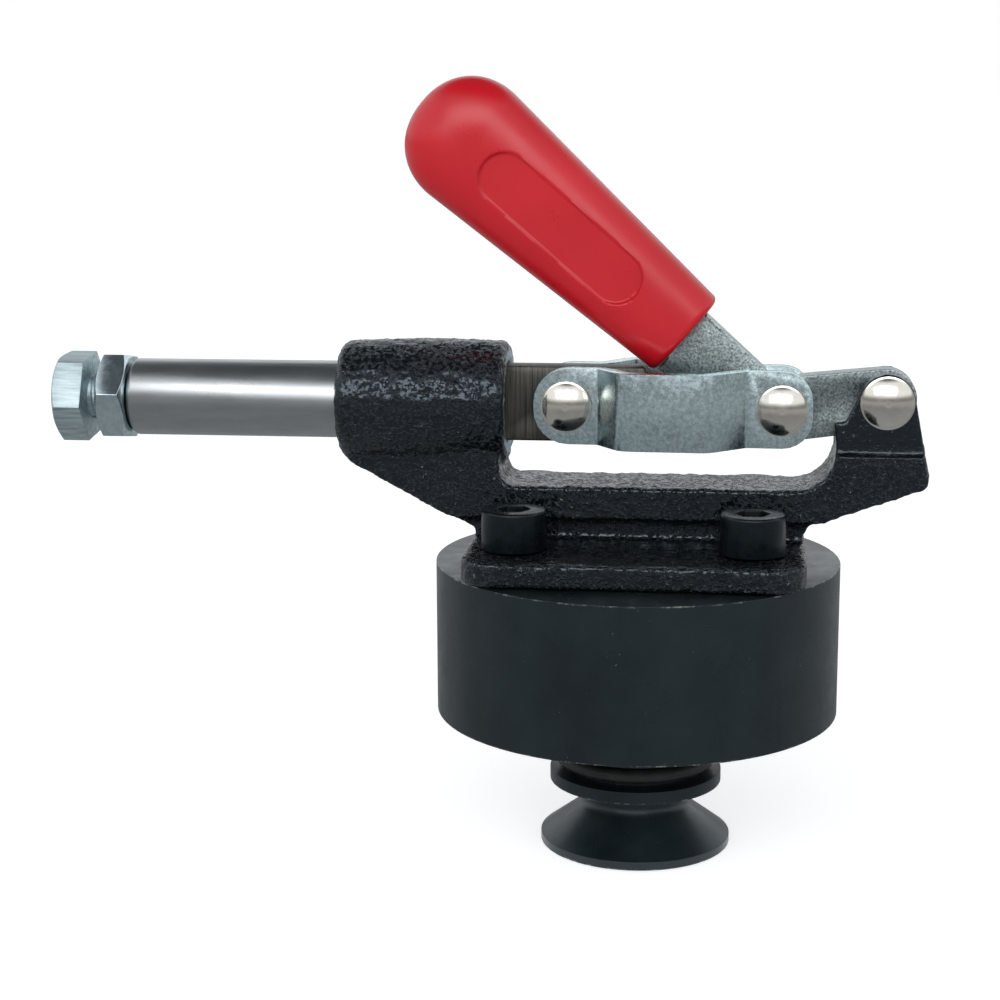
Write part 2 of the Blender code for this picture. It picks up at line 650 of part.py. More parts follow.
def build_plunger(material, carrier):
    """The ground rod with its milled tongue, drawn from the plunger's pivot."""
    front = ROD_FRONT_X - PLUNGER_PIVOT.x
    start = BARREL_RIGHT_X - TONGUE_ROOT - PLUNGER_PIVOT.x
    bore = BOLT_LENGTH - BOLT_HEAD_GAP - NUT_HEIGHT - TOUCH_GAP + BORE_SPARE
    end = TONGUE_REACH + ROD_RADIUS
    profile = [
        (0.0, end - front),
        (ROD_RADIUS, end - front),
        (ROD_RADIUS, ROD_CHAMFER),
        (ROD_RADIUS - ROD_CHAMFER, 0.0),
        (BOLT_RADIUS + HOLE_GAP, 0.0),
        (BOLT_RADIUS + HOLE_GAP, bore),
        (0.0, bore + BOLT_RADIUS / 2),
    ]
    rod = place(turned("rod", profile, ROUND_STEPS), (front, 0, 0), (0, math.pi / 2, 0))
    for side in (-1, 1):
        near, far = sorted((side * LEVER_HALF, side * 2 * ROD_RADIUS))
        combine(rod, box("tongue_flat", (start, near, -2 * ROD_RADIUS), (2 * end, far, 2 * ROD_RADIUS)))

    # What is left outside this bracket-shaped cutter is the tongue's eased end
    top = ROD_RADIUS + TOUCH_GAP
    bracket = [
        (TONGUE_REACH - ROD_RADIUS, -2 * top),
        (2 * end, -2 * top),
        (2 * end, 2 * top),
        (TONGUE_REACH - ROD_RADIUS, 2 * top),
        (TONGUE_REACH - ROD_RADIUS, top),
        (TONGUE_REACH, top, TONGUE_CORNER_RADIUS),
        (TONGUE_REACH, -top, TONGUE_CORNER_RADIUS),
        (TONGUE_REACH - ROD_RADIUS, -top),
    ]
    combine(rod, plate("tongue_end", bracket, -ROD_RADIUS, ROD_RADIUS))
    combine(rod, cylinder("pin_hole", RIVET_SHANK_RADIUS + HOLE_GAP,
                          (0, -ROD_RADIUS, 0), (0, ROD_RADIUS, 0)))
    return finish(rod, "plunger", material, carrier)


def chamfered_hexagon(name, flats, height, turn, both_ends):
    """A hexagon whose corners are turned off to a cone at one end or both."""
    corner = flats / math.sqrt(3)
    face = flats / 2 - HEX_CHAMFER_INSET
    drop = (corner - face) * math.tan(HEX_CHAMFER_SLOPE)
    outside = corner + drop
    fall = (outside - face) * math.tan(HEX_CHAMFER_SLOPE)
    foot = [(face, 0.0)] if both_ends else [(outside, 0.0)]
    profile = [(0.0, height), (face, height), (outside, height - fall)]
    profile += [(outside, fall)] + foot + [(0.0, 0.0)]
    return combine(hexagon(name, flats, 0.0, height, turn), turned("chamfer", profile), 'INTERSECT')


def build_bolt(material, carrier):
    """The hexagon bolt that sets the plunger's reach, its head to the front."""
    at_seat = (BOLT_SEAT_X - PLUNGER_PIVOT.x, 0, 0)
    facing_front = (0, -math.pi / 2, 0)
    bolt = chamfered_hexagon("bolt", BOLT_HEAD_FLATS, BOLT_HEAD_HEIGHT, BOLT_HEAD_TURN, False)
    place(bolt, at_seat, facing_front)
    profile = [
        (0.0, BOLT_HEAD_HEIGHT / 2),
        (BOLT_RADIUS, BOLT_HEAD_HEIGHT / 2),
        (BOLT_RADIUS, BOLT_CHAMFER - BOLT_LENGTH),
        (BOLT_RADIUS - BOLT_CHAMFER, -BOLT_LENGTH),
        (0.0, -BOLT_LENGTH),
    ]
    combine(bolt, turned("shank", profile, SMALL_STEPS), 'UNION')
    for step in bolt.modifiers:
        place(step.object, at_seat, facing_front)
    return finish(bolt, "spindle_bolt", material, carrier)


def build_nut(material, carrier):
    """The jam nut against the rod's end."""
    at_rod = (ROD_FRONT_X - TOUCH_GAP - PLUNGER_PIVOT.x, 0, 0)
    nut = chamfered_hexagon("nut", BOLT_HEAD_FLATS, NUT_HEIGHT, NUT_TURN, True)
    combine(nut, cylinder("thread_hole", BOLT_RADIUS + HOLE_GAP, (0, 0, -NUT_HEIGHT),
                          (0, 0, 2 * NUT_HEIGHT)))
    for turned_part in [nut] + [step.object for step in nut.modifiers]:
        place(turned_part, at_rod, (0, -math.pi / 2, 0))
    return finish(nut, "jam_nut", material, carrier)


# Links and rivets

def build_link(name, side, material, carrier):
    """A jogged link plate, drawn from the middle pivot towards the plunger."""
    flat = side * (PLATE_INNER_Y + PLATE_THICKNESS / 2)
    raised = side * (RAISED_INNER_Y + PLATE_THICKNESS / 2)
    front = -LINK_LENGTH - PLATE_FRONT_OVERHANG
    path = rounded([
        (front - PLATE_THICKNESS, flat),
        (-LINK_LENGTH + FRONT_FLAT, flat, JOG_BEND_RADIUS),
        (-LINK_LENGTH + FRONT_FLAT + FRONT_JOG_RUN, raised, JOG_BEND_RADIUS),
        (-REAR_FLAT - REAR_JOG_RUN, raised, JOG_BEND_RADIUS),
        (-REAR_FLAT, flat, JOG_BEND_RADIUS),
        (PLATE_REAR_OVERHANG + PLATE_THICKNESS, flat),
    ], closed=False)
    link = bent_sheet("sheet", path, PLATE_THICKNESS, -PLATE_HEIGHT, PLATE_HEIGHT)
    half = PLATE_HEIGHT / 2
    near, far = sorted((0.0, side * 2 * RAISED_INNER_Y))
    blank = plate("blank", [
        (front, -half, PLATE_FRONT_RADIUS),
        (PLATE_REAR_OVERHANG, -half, PLATE_REAR_RADIUS),
        (PLATE_REAR_OVERHANG, half, PLATE_REAR_RADIUS),
        (front, half, PLATE_FRONT_RADIUS),
    ], near, far)
    combine(link, blank, 'INTERSECT')
    for x in (-LINK_LENGTH, 0.0):
        combine(link, cylinder("rivet_hole", RIVET_SHANK_RADIUS + HOLE_GAP, (x, near, 0), (x, far, 0)))
    for tilted in [link] + [step.object for step in link.modifiers if step.type == 'BOOLEAN']:
        place(tilted, rotation=(0, LINK_TILT, 0))
    return finish(link, name, material, carrier)


def dome_points(radius, height, seat):
    """A rivet head's round top, from its middle down to its rim above the seat."""
    ball = (radius ** 2 + height ** 2) / (2 * height)
    rim = math.asin((ball - height) / ball)
    return arc_points((0.0, seat + height - ball), ball, math.pi / 2, rim, FINE_ARC_STEP)


def rivet(name, head_radius, head_height, seat):
    """A rivet along Y with a domed head at each end of its shank."""
    half = dome_points(head_radius, head_height, seat) + [(RIVET_SHANK_RADIUS, seat)]
    mirrored = [(radius, -height) for radius, height in reversed(half)]
    return place(turned(name, half + mirrored, SMALL_STEPS), rotation=(math.pi / 2, 0, 0))


def build_rivet_stub(name, side, material, carrier):
    """One head of the plunger's rivet, with the stub that fills its plate's hole."""
    profile = dome_points(LINK_HEAD_RADIUS, LINK_HEAD_HEIGHT, LINK_HEAD_Y)
    profile += [(RIVET_SHANK_RADIUS, LINK_HEAD_Y), (RIVET_SHANK_RADIUS, PLATE_INNER_Y), (0.0, PLATE_INNER_Y)]
    head = turned("head", profile, SMALL_STEPS)
    place(head, PLUNGER_PIVOT - MIDDLE_PIVOT, (-side * math.pi / 2, 0, 0))
    return finish(head, name, material, carrier)


# Lever and grip

def grip_point(along, across):
    """A point in the lever's plane, from the grip's mouth, seen from the rear pivot."""
    axis = Vector((-math.cos(GRIP_ANGLE), math.sin(GRIP_ANGLE)))
    mouth = Vector((MIDDLE_PIVOT.x - GRIP_REACH, MIDDLE_PIVOT.z + GRIP_RISE))
    point = mouth + along * axis + across * Vector((axis.y, -axis.x))
    return (point.x - REAR_PIVOT.x, point.y - REAR_PIVOT.z)


def build_lever(material, carrier):
    """The lever plate: hub, elbow, arm and the tang inside the grip."""
    middle = MIDDLE_PIVOT - REAR_PIVOT
    elbow = (middle.x - ELBOW_REACH, middle.z - ELBOW_DROP)
    bend = (middle.x - ARM_BEND_REACH, middle.z + ARM_BEND_RISE)
    tang = TANG_WIDTH / 2
    outline = [
        (*elbow, ELBOW_RADIUS),
        *boss_arc(elbow, (0.0, 0.0), HUB_RADIUS, bend),
        (*bend, ARM_BEND_RADIUS),
        grip_point(-TOUCH_GAP, ARM_HIGH_EDGE),
        grip_point(-TOUCH_GAP, tang),
        (*grip_point(TANG_LENGTH, tang), TANG_END_RADIUS),
        (*grip_point(TANG_LENGTH, -tang), TANG_END_RADIUS),
        grip_point(-TOUCH_GAP, -tang),
        grip_point(-TOUCH_GAP, -ARM_LOW_EDGE),
    ]
    lever = plate("side", outline, -LEVER_HALF, LEVER_HALF)
    for x, z in ((0.0, 0.0), (middle.x, middle.z)):
        combine(lever, cylinder("rivet_hole", RIVET_SHANK_RADIUS + HOLE_GAP,
                                (x, -LEVER_THICKNESS, z), (x, LEVER_THICKNESS, z)))
    return finish(lever, "lever", material, carrier)


def grip_section(along):
    """Half width and half thickness of the grip at a distance from its mouth."""
    tip = GRIP_LENGTH - GRIP_TIP_LENGTH
    straight = min(along, tip)
    width = GRIP_WIDTH / 2 + straight * math.tan(GRIP_TAPER)
    thickness = GRIP_THICKNESS / 2 + straight * math.tan(GRIP_THICKNESS_TAPER)
    closing = max(0.0, along - tip) / GRIP_TIP_LENGTH
    share = (1 - closing ** GRIP_TIP_POWER) ** (1 / GRIP_TIP_POWER)
    opening = GRIP_MOUTH_ROUNDING - min(along, GRIP_MOUTH_ROUNDING)
    eased = GRIP_MOUTH_ROUNDING - math.sqrt(GRIP_MOUTH_ROUNDING ** 2 - opening ** 2)
    return width * share - eased, thickness * share - eased


def grip_ring(bm, along):
    """One superellipse section of the grip, as vertices."""
    width, thickness = grip_section(along)
    ring = []
    for i in range(GRIP_STEPS):
        turn = 2 * math.pi * i / GRIP_STEPS
        across = math.copysign(abs(math.cos(turn)) ** (2 / GRIP_SECTION_POWER), math.cos(turn))
        deep = math.copysign(abs(math.sin(turn)) ** (2 / GRIP_SECTION_POWER), math.sin(turn))
        ring.append(bm.verts.new((across * width, deep * thickness, along)))
    return ring


def grip_loft():
    """The grip's outside, lofted along Z from its mouth to its round tip."""
    tip = GRIP_LENGTH - GRIP_TIP_LENGTH
    places = [GRIP_MOUTH_ROUNDING * (1 - math.cos(math.radians(turn))) for turn in (0, 30, 60, 90)]
    places += [tip * 0.25, tip * 0.5, tip * 0.75]
    places += [tip + GRIP_TIP_LENGTH * math.sin(math.pi / 2 * i / TIP_RINGS) for i in range(TIP_RINGS)]
    bm = bmesh.new()
    rings = [grip_ring(bm, along) for along in places]
    bm.faces.new(rings[0])
    for lower, upper in zip(rings, rings[1:]):
        for i in range(GRIP_STEPS):
            bm.faces.new((lower[i - 1], lower[i], upper[i], upper[i - 1]))
    end = bm.verts.new((0, 0, GRIP_LENGTH))
    for i in range(GRIP_STEPS):
        bm.faces.new((rings[-1][i - 1], rings[-1][i], end))
    return mesh_object("loft", bm)


def grip_panel(side):
    """The cutter for the long recessed panel on one side of the grip."""
    half = PANEL_WIDTH / 2
    end = PANEL_START + PANEL_LENGTH
    low, high = sorted((0.0, side * GRIP_THICKNESS))
    panel = plate("panel", [
        (-half, PANEL_START, half),
        (half, PANEL_START, half),
        (half, end, half),
        (-half, end, half),
    ], low, high)
    for vertex in panel.data.vertices:
        vertex.co.y += side * (grip_section(vertex.co.z)[1] - PANEL_DEPTH)
    return panel


def build_grip(material, carrier):
    """The moulded grip, pocketed for the lever's tang."""
    grip = grip_loft()
    across = TANG_WIDTH / 2 + TOUCH_GAP
    deep = LEVER_HALF + TOUCH_GAP
    combine(grip, box("tang_pocket", (-across, -deep, -deep), (across, deep, TANG_LENGTH + TOUCH_GAP)))
    for side in (-1, 1):
        combine(grip, grip_panel(side))
    x, z = grip_point(0.0, 0.0)
    for leaned in [grip] + [step.object for step in grip.modifiers]:
        place(leaned, (x, 0, z), (0, GRIP_ANGLE - math.pi / 2, 0))
    return finish(grip, "grip", material, carrier)


# Assembly

def build_clamp():
    black_oxide = make_material("black_oxide_steel", (0.030, 0.030, 0.034), 0.9, 0.36)
    rubber = make_material("black_rubber", (0.012, 0.012, 0.012), 0.0, 0.6)
    enamel = make_material("black_enamel", (0.012, 0.012, 0.013), 0.0, 0.3)
    screw_steel = make_material("screw_steel", (0.022, 0.022, 0.024), 0.85, 0.42)
    ground = make_material("ground_steel", (0.56, 0.55, 0.53), 1.0, 0.22)
    zinc = make_material("zinc_plate", (0.66, 0.68, 0.71), 1.0, 0.28)
    nickel = make_material("rivet_nickel", (0.68, 0.63, 0.57), 1.0, 0.22)
    red = make_material("red_plastic", (0.70, 0.012, 0.012), 0.0, 0.28)

    handle_axis = axis_empty("handle_axis", REAR_PIVOT)
    link_axis = axis_empty("link_axis", MIDDLE_PIVOT - REAR_PIVOT, handle_axis)
    plunger_axis = axis_empty("plunger_axis", PLUNGER_PIVOT)

    build_adapter(black_oxide)
    build_o_ring(rubber)
    build_body(enamel)
    for name, (x, y) in screw_places().items():
        build_screw(name, x, y, screw_steel)
    rear = place(rivet("rear", REAR_HEAD_RADIUS, REAR_HEAD_HEIGHT, REAR_HEAD_Y), REAR_PIVOT,
                 (math.pi / 2, 0, 0))
    finish(rear, "rear_rivet", nickel)

    build_lever(zinc, handle_axis)
    build_grip(red, handle_axis)
    finish(rivet("middle", LINK_HEAD_RADIUS, LINK_HEAD_HEIGHT, LINK_HEAD_Y), "middle_rivet",
           nickel, link_axis)
    for name, side in (("front", -1), ("rear", 1)):
        build_link("link_" + name, side, zinc, link_axis)
        build_rivet_stub("plunger_rivet_head_" + name, side, nickel, link_axis)

    build_plunger(ground, plunger_axis)
    pin = cylinder("pin", RIVET_SHANK_RADIUS, (0, -LEVER_HALF, 0), (0, LEVER_HALF, 0))
    finish(pin, "plunger_pivot_pin", nickel, plunger_axis)
    build_bolt(zinc, plunger_axis)
    build_nut(zinc, plunger_axis)


build_clamp()
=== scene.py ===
# %% [markdown]
# # A push-pull toggle clamp, dressed for its portrait
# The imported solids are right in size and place, but they have plain colours and knife-sharp
# edges. Each cell below takes one real piece of the clamp, says how it is made in the
# workshop, and gives it the edges, the surface and the finish that the real one shows.

# %% Load the frame
import math

import bmesh
import bpy
from mathutils import Matrix, Vector, noise


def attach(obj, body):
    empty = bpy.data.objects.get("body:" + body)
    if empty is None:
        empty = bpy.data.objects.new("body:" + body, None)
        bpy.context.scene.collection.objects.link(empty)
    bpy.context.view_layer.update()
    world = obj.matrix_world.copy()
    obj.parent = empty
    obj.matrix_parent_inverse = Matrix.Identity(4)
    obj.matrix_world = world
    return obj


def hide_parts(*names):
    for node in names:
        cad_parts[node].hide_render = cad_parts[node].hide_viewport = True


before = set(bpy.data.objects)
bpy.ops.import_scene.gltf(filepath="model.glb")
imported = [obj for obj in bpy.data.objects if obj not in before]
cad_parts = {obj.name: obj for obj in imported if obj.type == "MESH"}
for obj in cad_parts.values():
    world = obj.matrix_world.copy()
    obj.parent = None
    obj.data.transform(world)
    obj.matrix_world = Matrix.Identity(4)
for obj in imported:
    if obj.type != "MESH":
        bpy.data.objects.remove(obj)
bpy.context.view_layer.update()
MM = 0.001

# %% [markdown]
# ## Camera
# The photograph was taken from slightly above and a little to the right, with a long lens.
# The camera is built from its own three directions, so its turn, its tilt and the small
# lean of the picture can each be read as one number.

# %% Camera
CAMERA_PLACE = Vector((22.75, -412.75, 155.86)) * MM
CAMERA_TURN = math.radians(7.10)
CAMERA_TILT = math.radians(-11.32)
CAMERA_LEAN = math.radians(-0.26)
LENS = 73.3

ahead = Vector((-math.sin(CAMERA_TURN) * math.cos(CAMERA_TILT),
                math.cos(CAMERA_TURN) * math.cos(CAMERA_TILT),
                math.sin(CAMERA_TILT)))
level_right = ahead.cross(Vector((0, 0, 1))).normalized()
level_up = level_right.cross(ahead)
right = level_right * math.cos(CAMERA_LEAN) + level_up * math.sin(CAMERA_LEAN)
up = right.cross(ahead)

camera_data = bpy.data.cameras.new("portrait_camera")
camera_data.lens = LENS
camera_data.sensor_width = 36.0
camera_data.clip_start = 0.01
camera_data.clip_end = 60.0
camera = bpy.data.objects.new("portrait_camera", camera_data)
bpy.context.scene.collection.objects.link(camera)
axes = Matrix((right, up, -ahead)).transposed().to_4x4()
camera.matrix_world = Matrix.Translation(CAMERA_PLACE) @ axes
bpy.context.scene.camera = camera
bpy.context.scene.view_settings.view_transform = 'Standard'
print("camera distance (mm):", round(CAMERA_PLACE.length / MM))

# %% [markdown]
# ## Small helpers for node trees
# A finish is a small network. These helpers add one node in one call, so that each finish
# below reads as a recipe. Every pattern uses the object's own coordinates, in metres:
# a noise scale of 1000 gives grains about a millimetre apart.

# %% Node helpers
def add_node(tree, kind, sockets=None, **settings):
    """Adds a node, sets its settings, and fills or links its sockets."""
    node = tree.nodes.new(kind)
    for key, value in settings.items():
        setattr(node, key, value)
    for socket, value in (sockets or {}).items():
        if isinstance(value, bpy.types.NodeSocket):
            tree.links.new(value, node.inputs[socket])
        else:
            node.inputs[socket].default_value = value
    return node


def own_place(tree):
    """The place on the piece, in metres."""
    return add_node(tree, "ShaderNodeTexCoord").outputs["Object"]


def grain(tree, scale, detail=3.0, rough=0.55, stretch=None, where=None):
    """Noise on the piece's own coordinates, in grains per metre."""
    where = where or own_place(tree)
    if stretch:
        stretched = add_node(tree, "ShaderNodeVectorMath", {0: where, 1: stretch}, operation='MULTIPLY')
        where = stretched.outputs[0]
    sockets = {"Vector": where, "Scale": scale, "Detail": detail, "Roughness": rough}
    return add_node(tree, "ShaderNodeTexNoise", sockets).outputs["Fac"]


def remap(tree, value, low, high, to_low=0.0, to_high=1.0):
    """Carries the range low..high over to another range, and stops at its ends."""
    sockets = {"Value": value, "From Min": low, "From Max": high, "To Min": to_low, "To Max": to_high}
    return add_node(tree, "ShaderNodeMapRange", sockets).outputs["Result"]


def maths(tree, operation, first, second=0.0):
    """One sum on two numbers, either of which may come from another node."""
    return add_node(tree, "ShaderNodeMath", {0: first, 1: second}, operation=operation).outputs[0]


def shades(tree, factor, *stops):
    """A colour ramp: stops are (position, (red, green, blue))."""
    node = add_node(tree, "ShaderNodeValToRGB", {"Fac": factor})
    ramp = node.color_ramp
    while len(ramp.elements) < len(stops):
        ramp.elements.new(1.0)
    for element, (position, colour) in zip(ramp.elements, stops):
        element.position = position
        element.color = (*colour, 1.0)
    return node.outputs["Color"]


def mix_colours(tree, factor, first, second):
    """The first colour where the factor is 0, the second where it is 1."""
    node = add_node(tree, "ShaderNodeMix", {0: factor, 6: first, 7: second}, data_type='RGBA')
    return node.outputs[2]


def bump(tree, height, distance, strength=1.0, under=None):
    """A normal that follows a pattern of heights, laid over another normal if given."""
    sockets = {"Height": height, "Distance": distance, "Strength": strength}
    if under:
        sockets["Normal"] = under
    return add_node(tree, "ShaderNodeBump", sockets).outputs["Normal"]


def new_finish(name, **sockets):
    """A finish with its own shader; sockets are named with _ for a space."""
    material = bpy.data.materials.new(name)
    material.use_nodes = True
    tree = material.node_tree
    shader = tree.nodes["Principled BSDF"]
    for key, value in sockets.items():
        shader.inputs[key.replace("_", " ")].default_value = value
    return material, tree, shader


def feed(tree, shader, **links):
    """Links outputs to the shader's sockets, named with _ for a space."""
    for key, output in links.items():
        tree.links.new(output, shader.inputs[key.replace("_", " ")])


print("node helpers ready")

# %% [markdown]
# ## Light, backdrop and floor
# Metal is only as good as what it reflects. The photograph's rivets show a white sky, a
# dark ceiling high above it, a brown horizon and a grey ground. The world is a ring of
# white light under a dark ceiling that leans a little to the back. Heights in it run from
# 0, straight down, to 1, straight up. The floor is plain and pale, and a grey card around
# the object, which no camera sees, stands in for the ground and the horizon. The camera
# itself sees plain white behind everything. One wide soft lamp in front draws the bright
# line along the rod and the grip.

# %% World
SKY_WHITE = (0.94, 0.975, 1.0)
CEILING_DARK = (0.085, 0.095, 0.10)
CEILING_LEAN = math.radians(8.0)
SKY_ENDS = 0.845
CEILING_BEGINS = 0.895
PURE_WHITE = (1.0, 1.0, 1.0, 1.0)

world = bpy.data.worlds.new("studio")
bpy.context.scene.world = world
world.use_nodes = True
sky = world.node_tree
background = sky.nodes["Background"].inputs
direction = add_node(sky, "ShaderNodeTexCoord").outputs["Generated"]
overhead = (0.0, math.sin(CEILING_LEAN), math.cos(CEILING_LEAN))
rise = add_node(sky, "ShaderNodeVectorMath", {0: direction, 1: overhead}, operation='DOT_PRODUCT')
height = remap(sky, rise.outputs["Value"], -1.0, 1.0)
sky_colour = shades(sky, height, (0.0, SKY_WHITE), (SKY_ENDS, SKY_WHITE), (CEILING_BEGINS, CEILING_DARK))
seen = add_node(sky, "ShaderNodeLightPath").outputs["Is Camera Ray"]
sky.links.new(mix_colours(sky, seen, sky_colour, PURE_WHITE), background["Color"])
background["Strength"].default_value = 1.0
print("world:", world.name, "with", len(sky.nodes), "nodes")

# %% Floor
FLOOR_REACH = 30.0
FLOOR_DROP = 0.2 * MM
FLOOR_COLOUR = (0.80, 0.80, 0.80, 1.0)
FLOOR_GLOW = 0.58


def stage_piece(name, bm):
    """Makes an object of the stage, which rides on no body."""
    mesh = bpy.data.meshes.new(name)
    bm.to_mesh(mesh)
    bm.free()
    thing = bpy.data.objects.new(name, mesh)
    bpy.context.scene.collection.objects.link(thing)
    return thing


bm = bmesh.new()
bmesh.ops.create_grid(bm, x_segments=1, y_segments=1, size=FLOOR_REACH)
bmesh.ops.translate(bm, vec=(0, 0, -FLOOR_DROP), verts=bm.verts)
floor = stage_piece("pale_floor", bm)
material, tree, shader = new_finish("pale_paper", Base_Color=FLOOR_COLOUR, Roughness=0.9,
                                    Specular_IOR_Level=0.0, Emission_Color=PURE_WHITE)
paths = add_node(tree, "ShaderNodeLightPath").outputs
seen = maths(tree, 'MAXIMUM', paths["Is Camera Ray"],
             maths(tree, 'MAXIMUM', paths["Is Glossy Ray"], paths["Is Transmission Ray"]))
feed(tree, shader, Emission_Strength=maths(tree, 'MULTIPLY', seen, FLOOR_GLOW))
floor.data.materials.append(material)
print("floor reaches", FLOOR_REACH, "m each way")

# %% Grey card and soft lamp
CARD_INNER = 0.03
CARD_OUTER = 6.0
CARD_WALL = 1.5
CARD_BEND = 0.05
GROUND_NEAR = (0.27, 0.285, 0.295)
GROUND_MIDDLE = (0.255, 0.265, 0.27)
GROUND_FAR = (0.38, 0.39, 0.395)
WALL_FOOT = (0.20, 0.20, 0.195)
WALL_MIDDLE = (0.285, 0.29, 0.285)
WALL_HEAD = (0.86, 0.88, 0.89)
LAMP_WIDTH = 1.3
LAMP_HEIGHT = 0.45
LAMP_WATTS = 4.6
LAMP_PLACE = Vector((-0.05, -0.96, 0.68))
LAMP_TARGET = Vector((0.0, 0.0, 0.07))


def of_kind(parts, kind):
    """The vertices or the edges among the parts that an operator made."""
    return [part for part in parts if isinstance(part, kind)]


bm = bmesh.new()
bmesh.ops.create_circle(bm, segments=96, radius=CARD_INNER)
spread = bmesh.ops.extrude_edge_only(bm, edges=bm.edges[:])["geom"]
widening = CARD_OUTER / CARD_INNER
bmesh.ops.scale(bm, vec=(widening, widening, 1), verts=of_kind(spread, bmesh.types.BMVert))
raised = bmesh.ops.extrude_edge_only(bm, edges=of_kind(spread, bmesh.types.BMEdge))["geom"]
bmesh.ops.translate(bm, vec=(0, 0, CARD_WALL), verts=of_kind(raised, bmesh.types.BMVert))
card = stage_piece("grey_card", bm)
material, tree, shader = new_finish("grey_ground")
tree.nodes.remove(shader)
parts = add_node(tree, "ShaderNodeSeparateXYZ", {0: own_place(tree)}).outputs
from_middle = add_node(tree, "ShaderNodeVectorMath", {0: own_place(tree)}, operation='LENGTH')
ground_colour = shades(tree, remap(tree, from_middle.outputs["Value"], 0.04, 0.60),
                       (0.0, GROUND_NEAR), (0.45, GROUND_MIDDLE), (1.0, GROUND_FAR))
wall_colour = shades(tree, remap(tree, parts["Z"], 0.0, CARD_WALL),
                     (0.0, WALL_FOOT), (0.5, WALL_MIDDLE), (1.0, WALL_HEAD))
card_colour = mix_colours(tree, remap(tree, parts["Z"], 0.0, CARD_BEND), ground_colour, wall_colour)
brighter_behind = remap(tree, parts["Y"], -0.2, 0.5, 0.9, 1.6)
glow = add_node(tree, "ShaderNodeEmission", {"Color": card_colour, "Strength": brighter_behind})
tree.links.new(glow.outputs[0], tree.nodes["Material Output"].inputs["Surface"])
card.data.materials.append(material)
card.visible_camera = False
card.visible_diffuse = False
card.visible_shadow = False

lamp_data = bpy.data.lights.new("soft_lamp", 'AREA')
lamp_data.shape = 'RECTANGLE'
lamp_data.size = LAMP_WIDTH
lamp_data.size_y = LAMP_HEIGHT
lamp_data.energy = LAMP_WATTS
lamp = bpy.data.objects.new("soft_lamp", lamp_data)
bpy.context.scene.collection.objects.link(lamp)
lamp.location = LAMP_PLACE
lamp.rotation_euler = (LAMP_TARGET - LAMP_PLACE).to_track_quat('-Z', 'Y').to_euler()
print("stage:", floor.name, card.name, lamp.name)

# %% [markdown]
# ## Black oxide on turned steel
# The adapter is turned from a bar and blackened in a hot salt bath. The oxide is thin and
# dark, its sheen rises towards grazing angles, and the tool's fine rings show through it.
# The ring pattern is noise on two numbers, the distance from the axis and the height, so
# it runs round the sides and in circles over the flat faces. Handling wears the oxide off
# the outer corners, where a broken bright line is left. The screws are blackened too, but
# they are forged and not turned, so they show no rings.

# %% Black oxide
def axis_pair(tree):
    """The distance from the Z axis and the height, as a vector (distance, height, 0)."""
    parts = add_node(tree, "ShaderNodeSeparateXYZ", {0: own_place(tree)}).outputs
    distance = maths(tree, 'SQRT', maths(tree, 'ADD', maths(tree, 'MULTIPLY', parts["X"], parts["X"]),
                                         maths(tree, 'MULTIPLY', parts["Y"], parts["Y"])))
    return add_node(tree, "ShaderNodeCombineXYZ", {"X": distance, "Y": parts["Z"]}).outputs[0]


def turned_black(corners):
    """Blackened turned steel; corners are the worn edges, as (radius, height)."""
    material, tree, shader = new_finish("black_oxide_steel", Specular_Tint=(0.80, 0.92, 1.0, 1.0))
    pair = axis_pair(tree)
    rings = grain(tree, 2600.0, 2.0, 0.6, where=pair)
    cloud = grain(tree, 70.0, 4.0, 0.6)
    specks = grain(tree, 1500.0, 2.0, 0.7)
    upright = grain(tree, 60.0, 3.0, 0.5, stretch=(1.0, 1.0, 0.06))
    tone = maths(tree, 'MULTIPLY', maths(tree, 'ADD', cloud, upright), 0.5)
    colour = shades(tree, tone, (0.36, (0.0050, 0.0084, 0.0102)), (0.64, (0.0120, 0.0182, 0.0215)))
    worn = None
    for radius, level in corners:
        away = add_node(tree, "ShaderNodeVectorMath", {0: pair, 1: (radius, level, 0.0)},
                        operation='DISTANCE').outputs["Value"]
        near = remap(tree, away, 0.19 * MM, 0.30 * MM, 1.0, 0.0)
        worn = near if worn is None else maths(tree, 'MAXIMUM', worn, near)
    patchy = remap(tree, grain(tree, 420.0, 5.0, 0.8), 0.50, 0.66)
    worn = maths(tree, 'MULTIPLY', maths(tree, 'MULTIPLY', worn, patchy), 0.75)
    dust = maths(tree, 'MULTIPLY', remap(tree, specks, 0.735, 0.775), 0.35)
    colour = mix_colours(tree, maths(tree, 'MAXIMUM', worn, dust), colour, (0.42, 0.43, 0.43, 1.0))
    rough = remap(tree, grain(tree, 190.0, 4.0, 0.6), 0.3, 0.7, 0.25, 0.38)
    feed(tree, shader, Base_Color=colour, Roughness=rough, Metallic=worn,
         Normal=bump(tree, rings, 0.012 * MM, 0.5, bump(tree, cloud, 0.1 * MM, 0.2)))
    return material


def forged_black():
    """Blackened steel without turning marks, for the screws."""
    material, tree, shader = new_finish("screw_steel", Specular_IOR_Level=0.38,
                                        Specular_Tint=(0.72, 0.88, 1.0, 1.0))
    cloud = grain(tree, 420.0, 4.0, 0.6)
    colour = shades(tree, cloud, (0.3, (0.0021, 0.0035, 0.00455)), (0.75, (0.0042, 0.0070, 0.0091)))
    rough = remap(tree, cloud, 0.3, 0.7, 0.22, 0.36)
    feed(tree, shader, Base_Color=colour, Roughness=rough,
         Normal=bump(tree, grain(tree, 2200.0, 3.0), 0.02 * MM, 0.5))
    return material


print("black oxide ready")

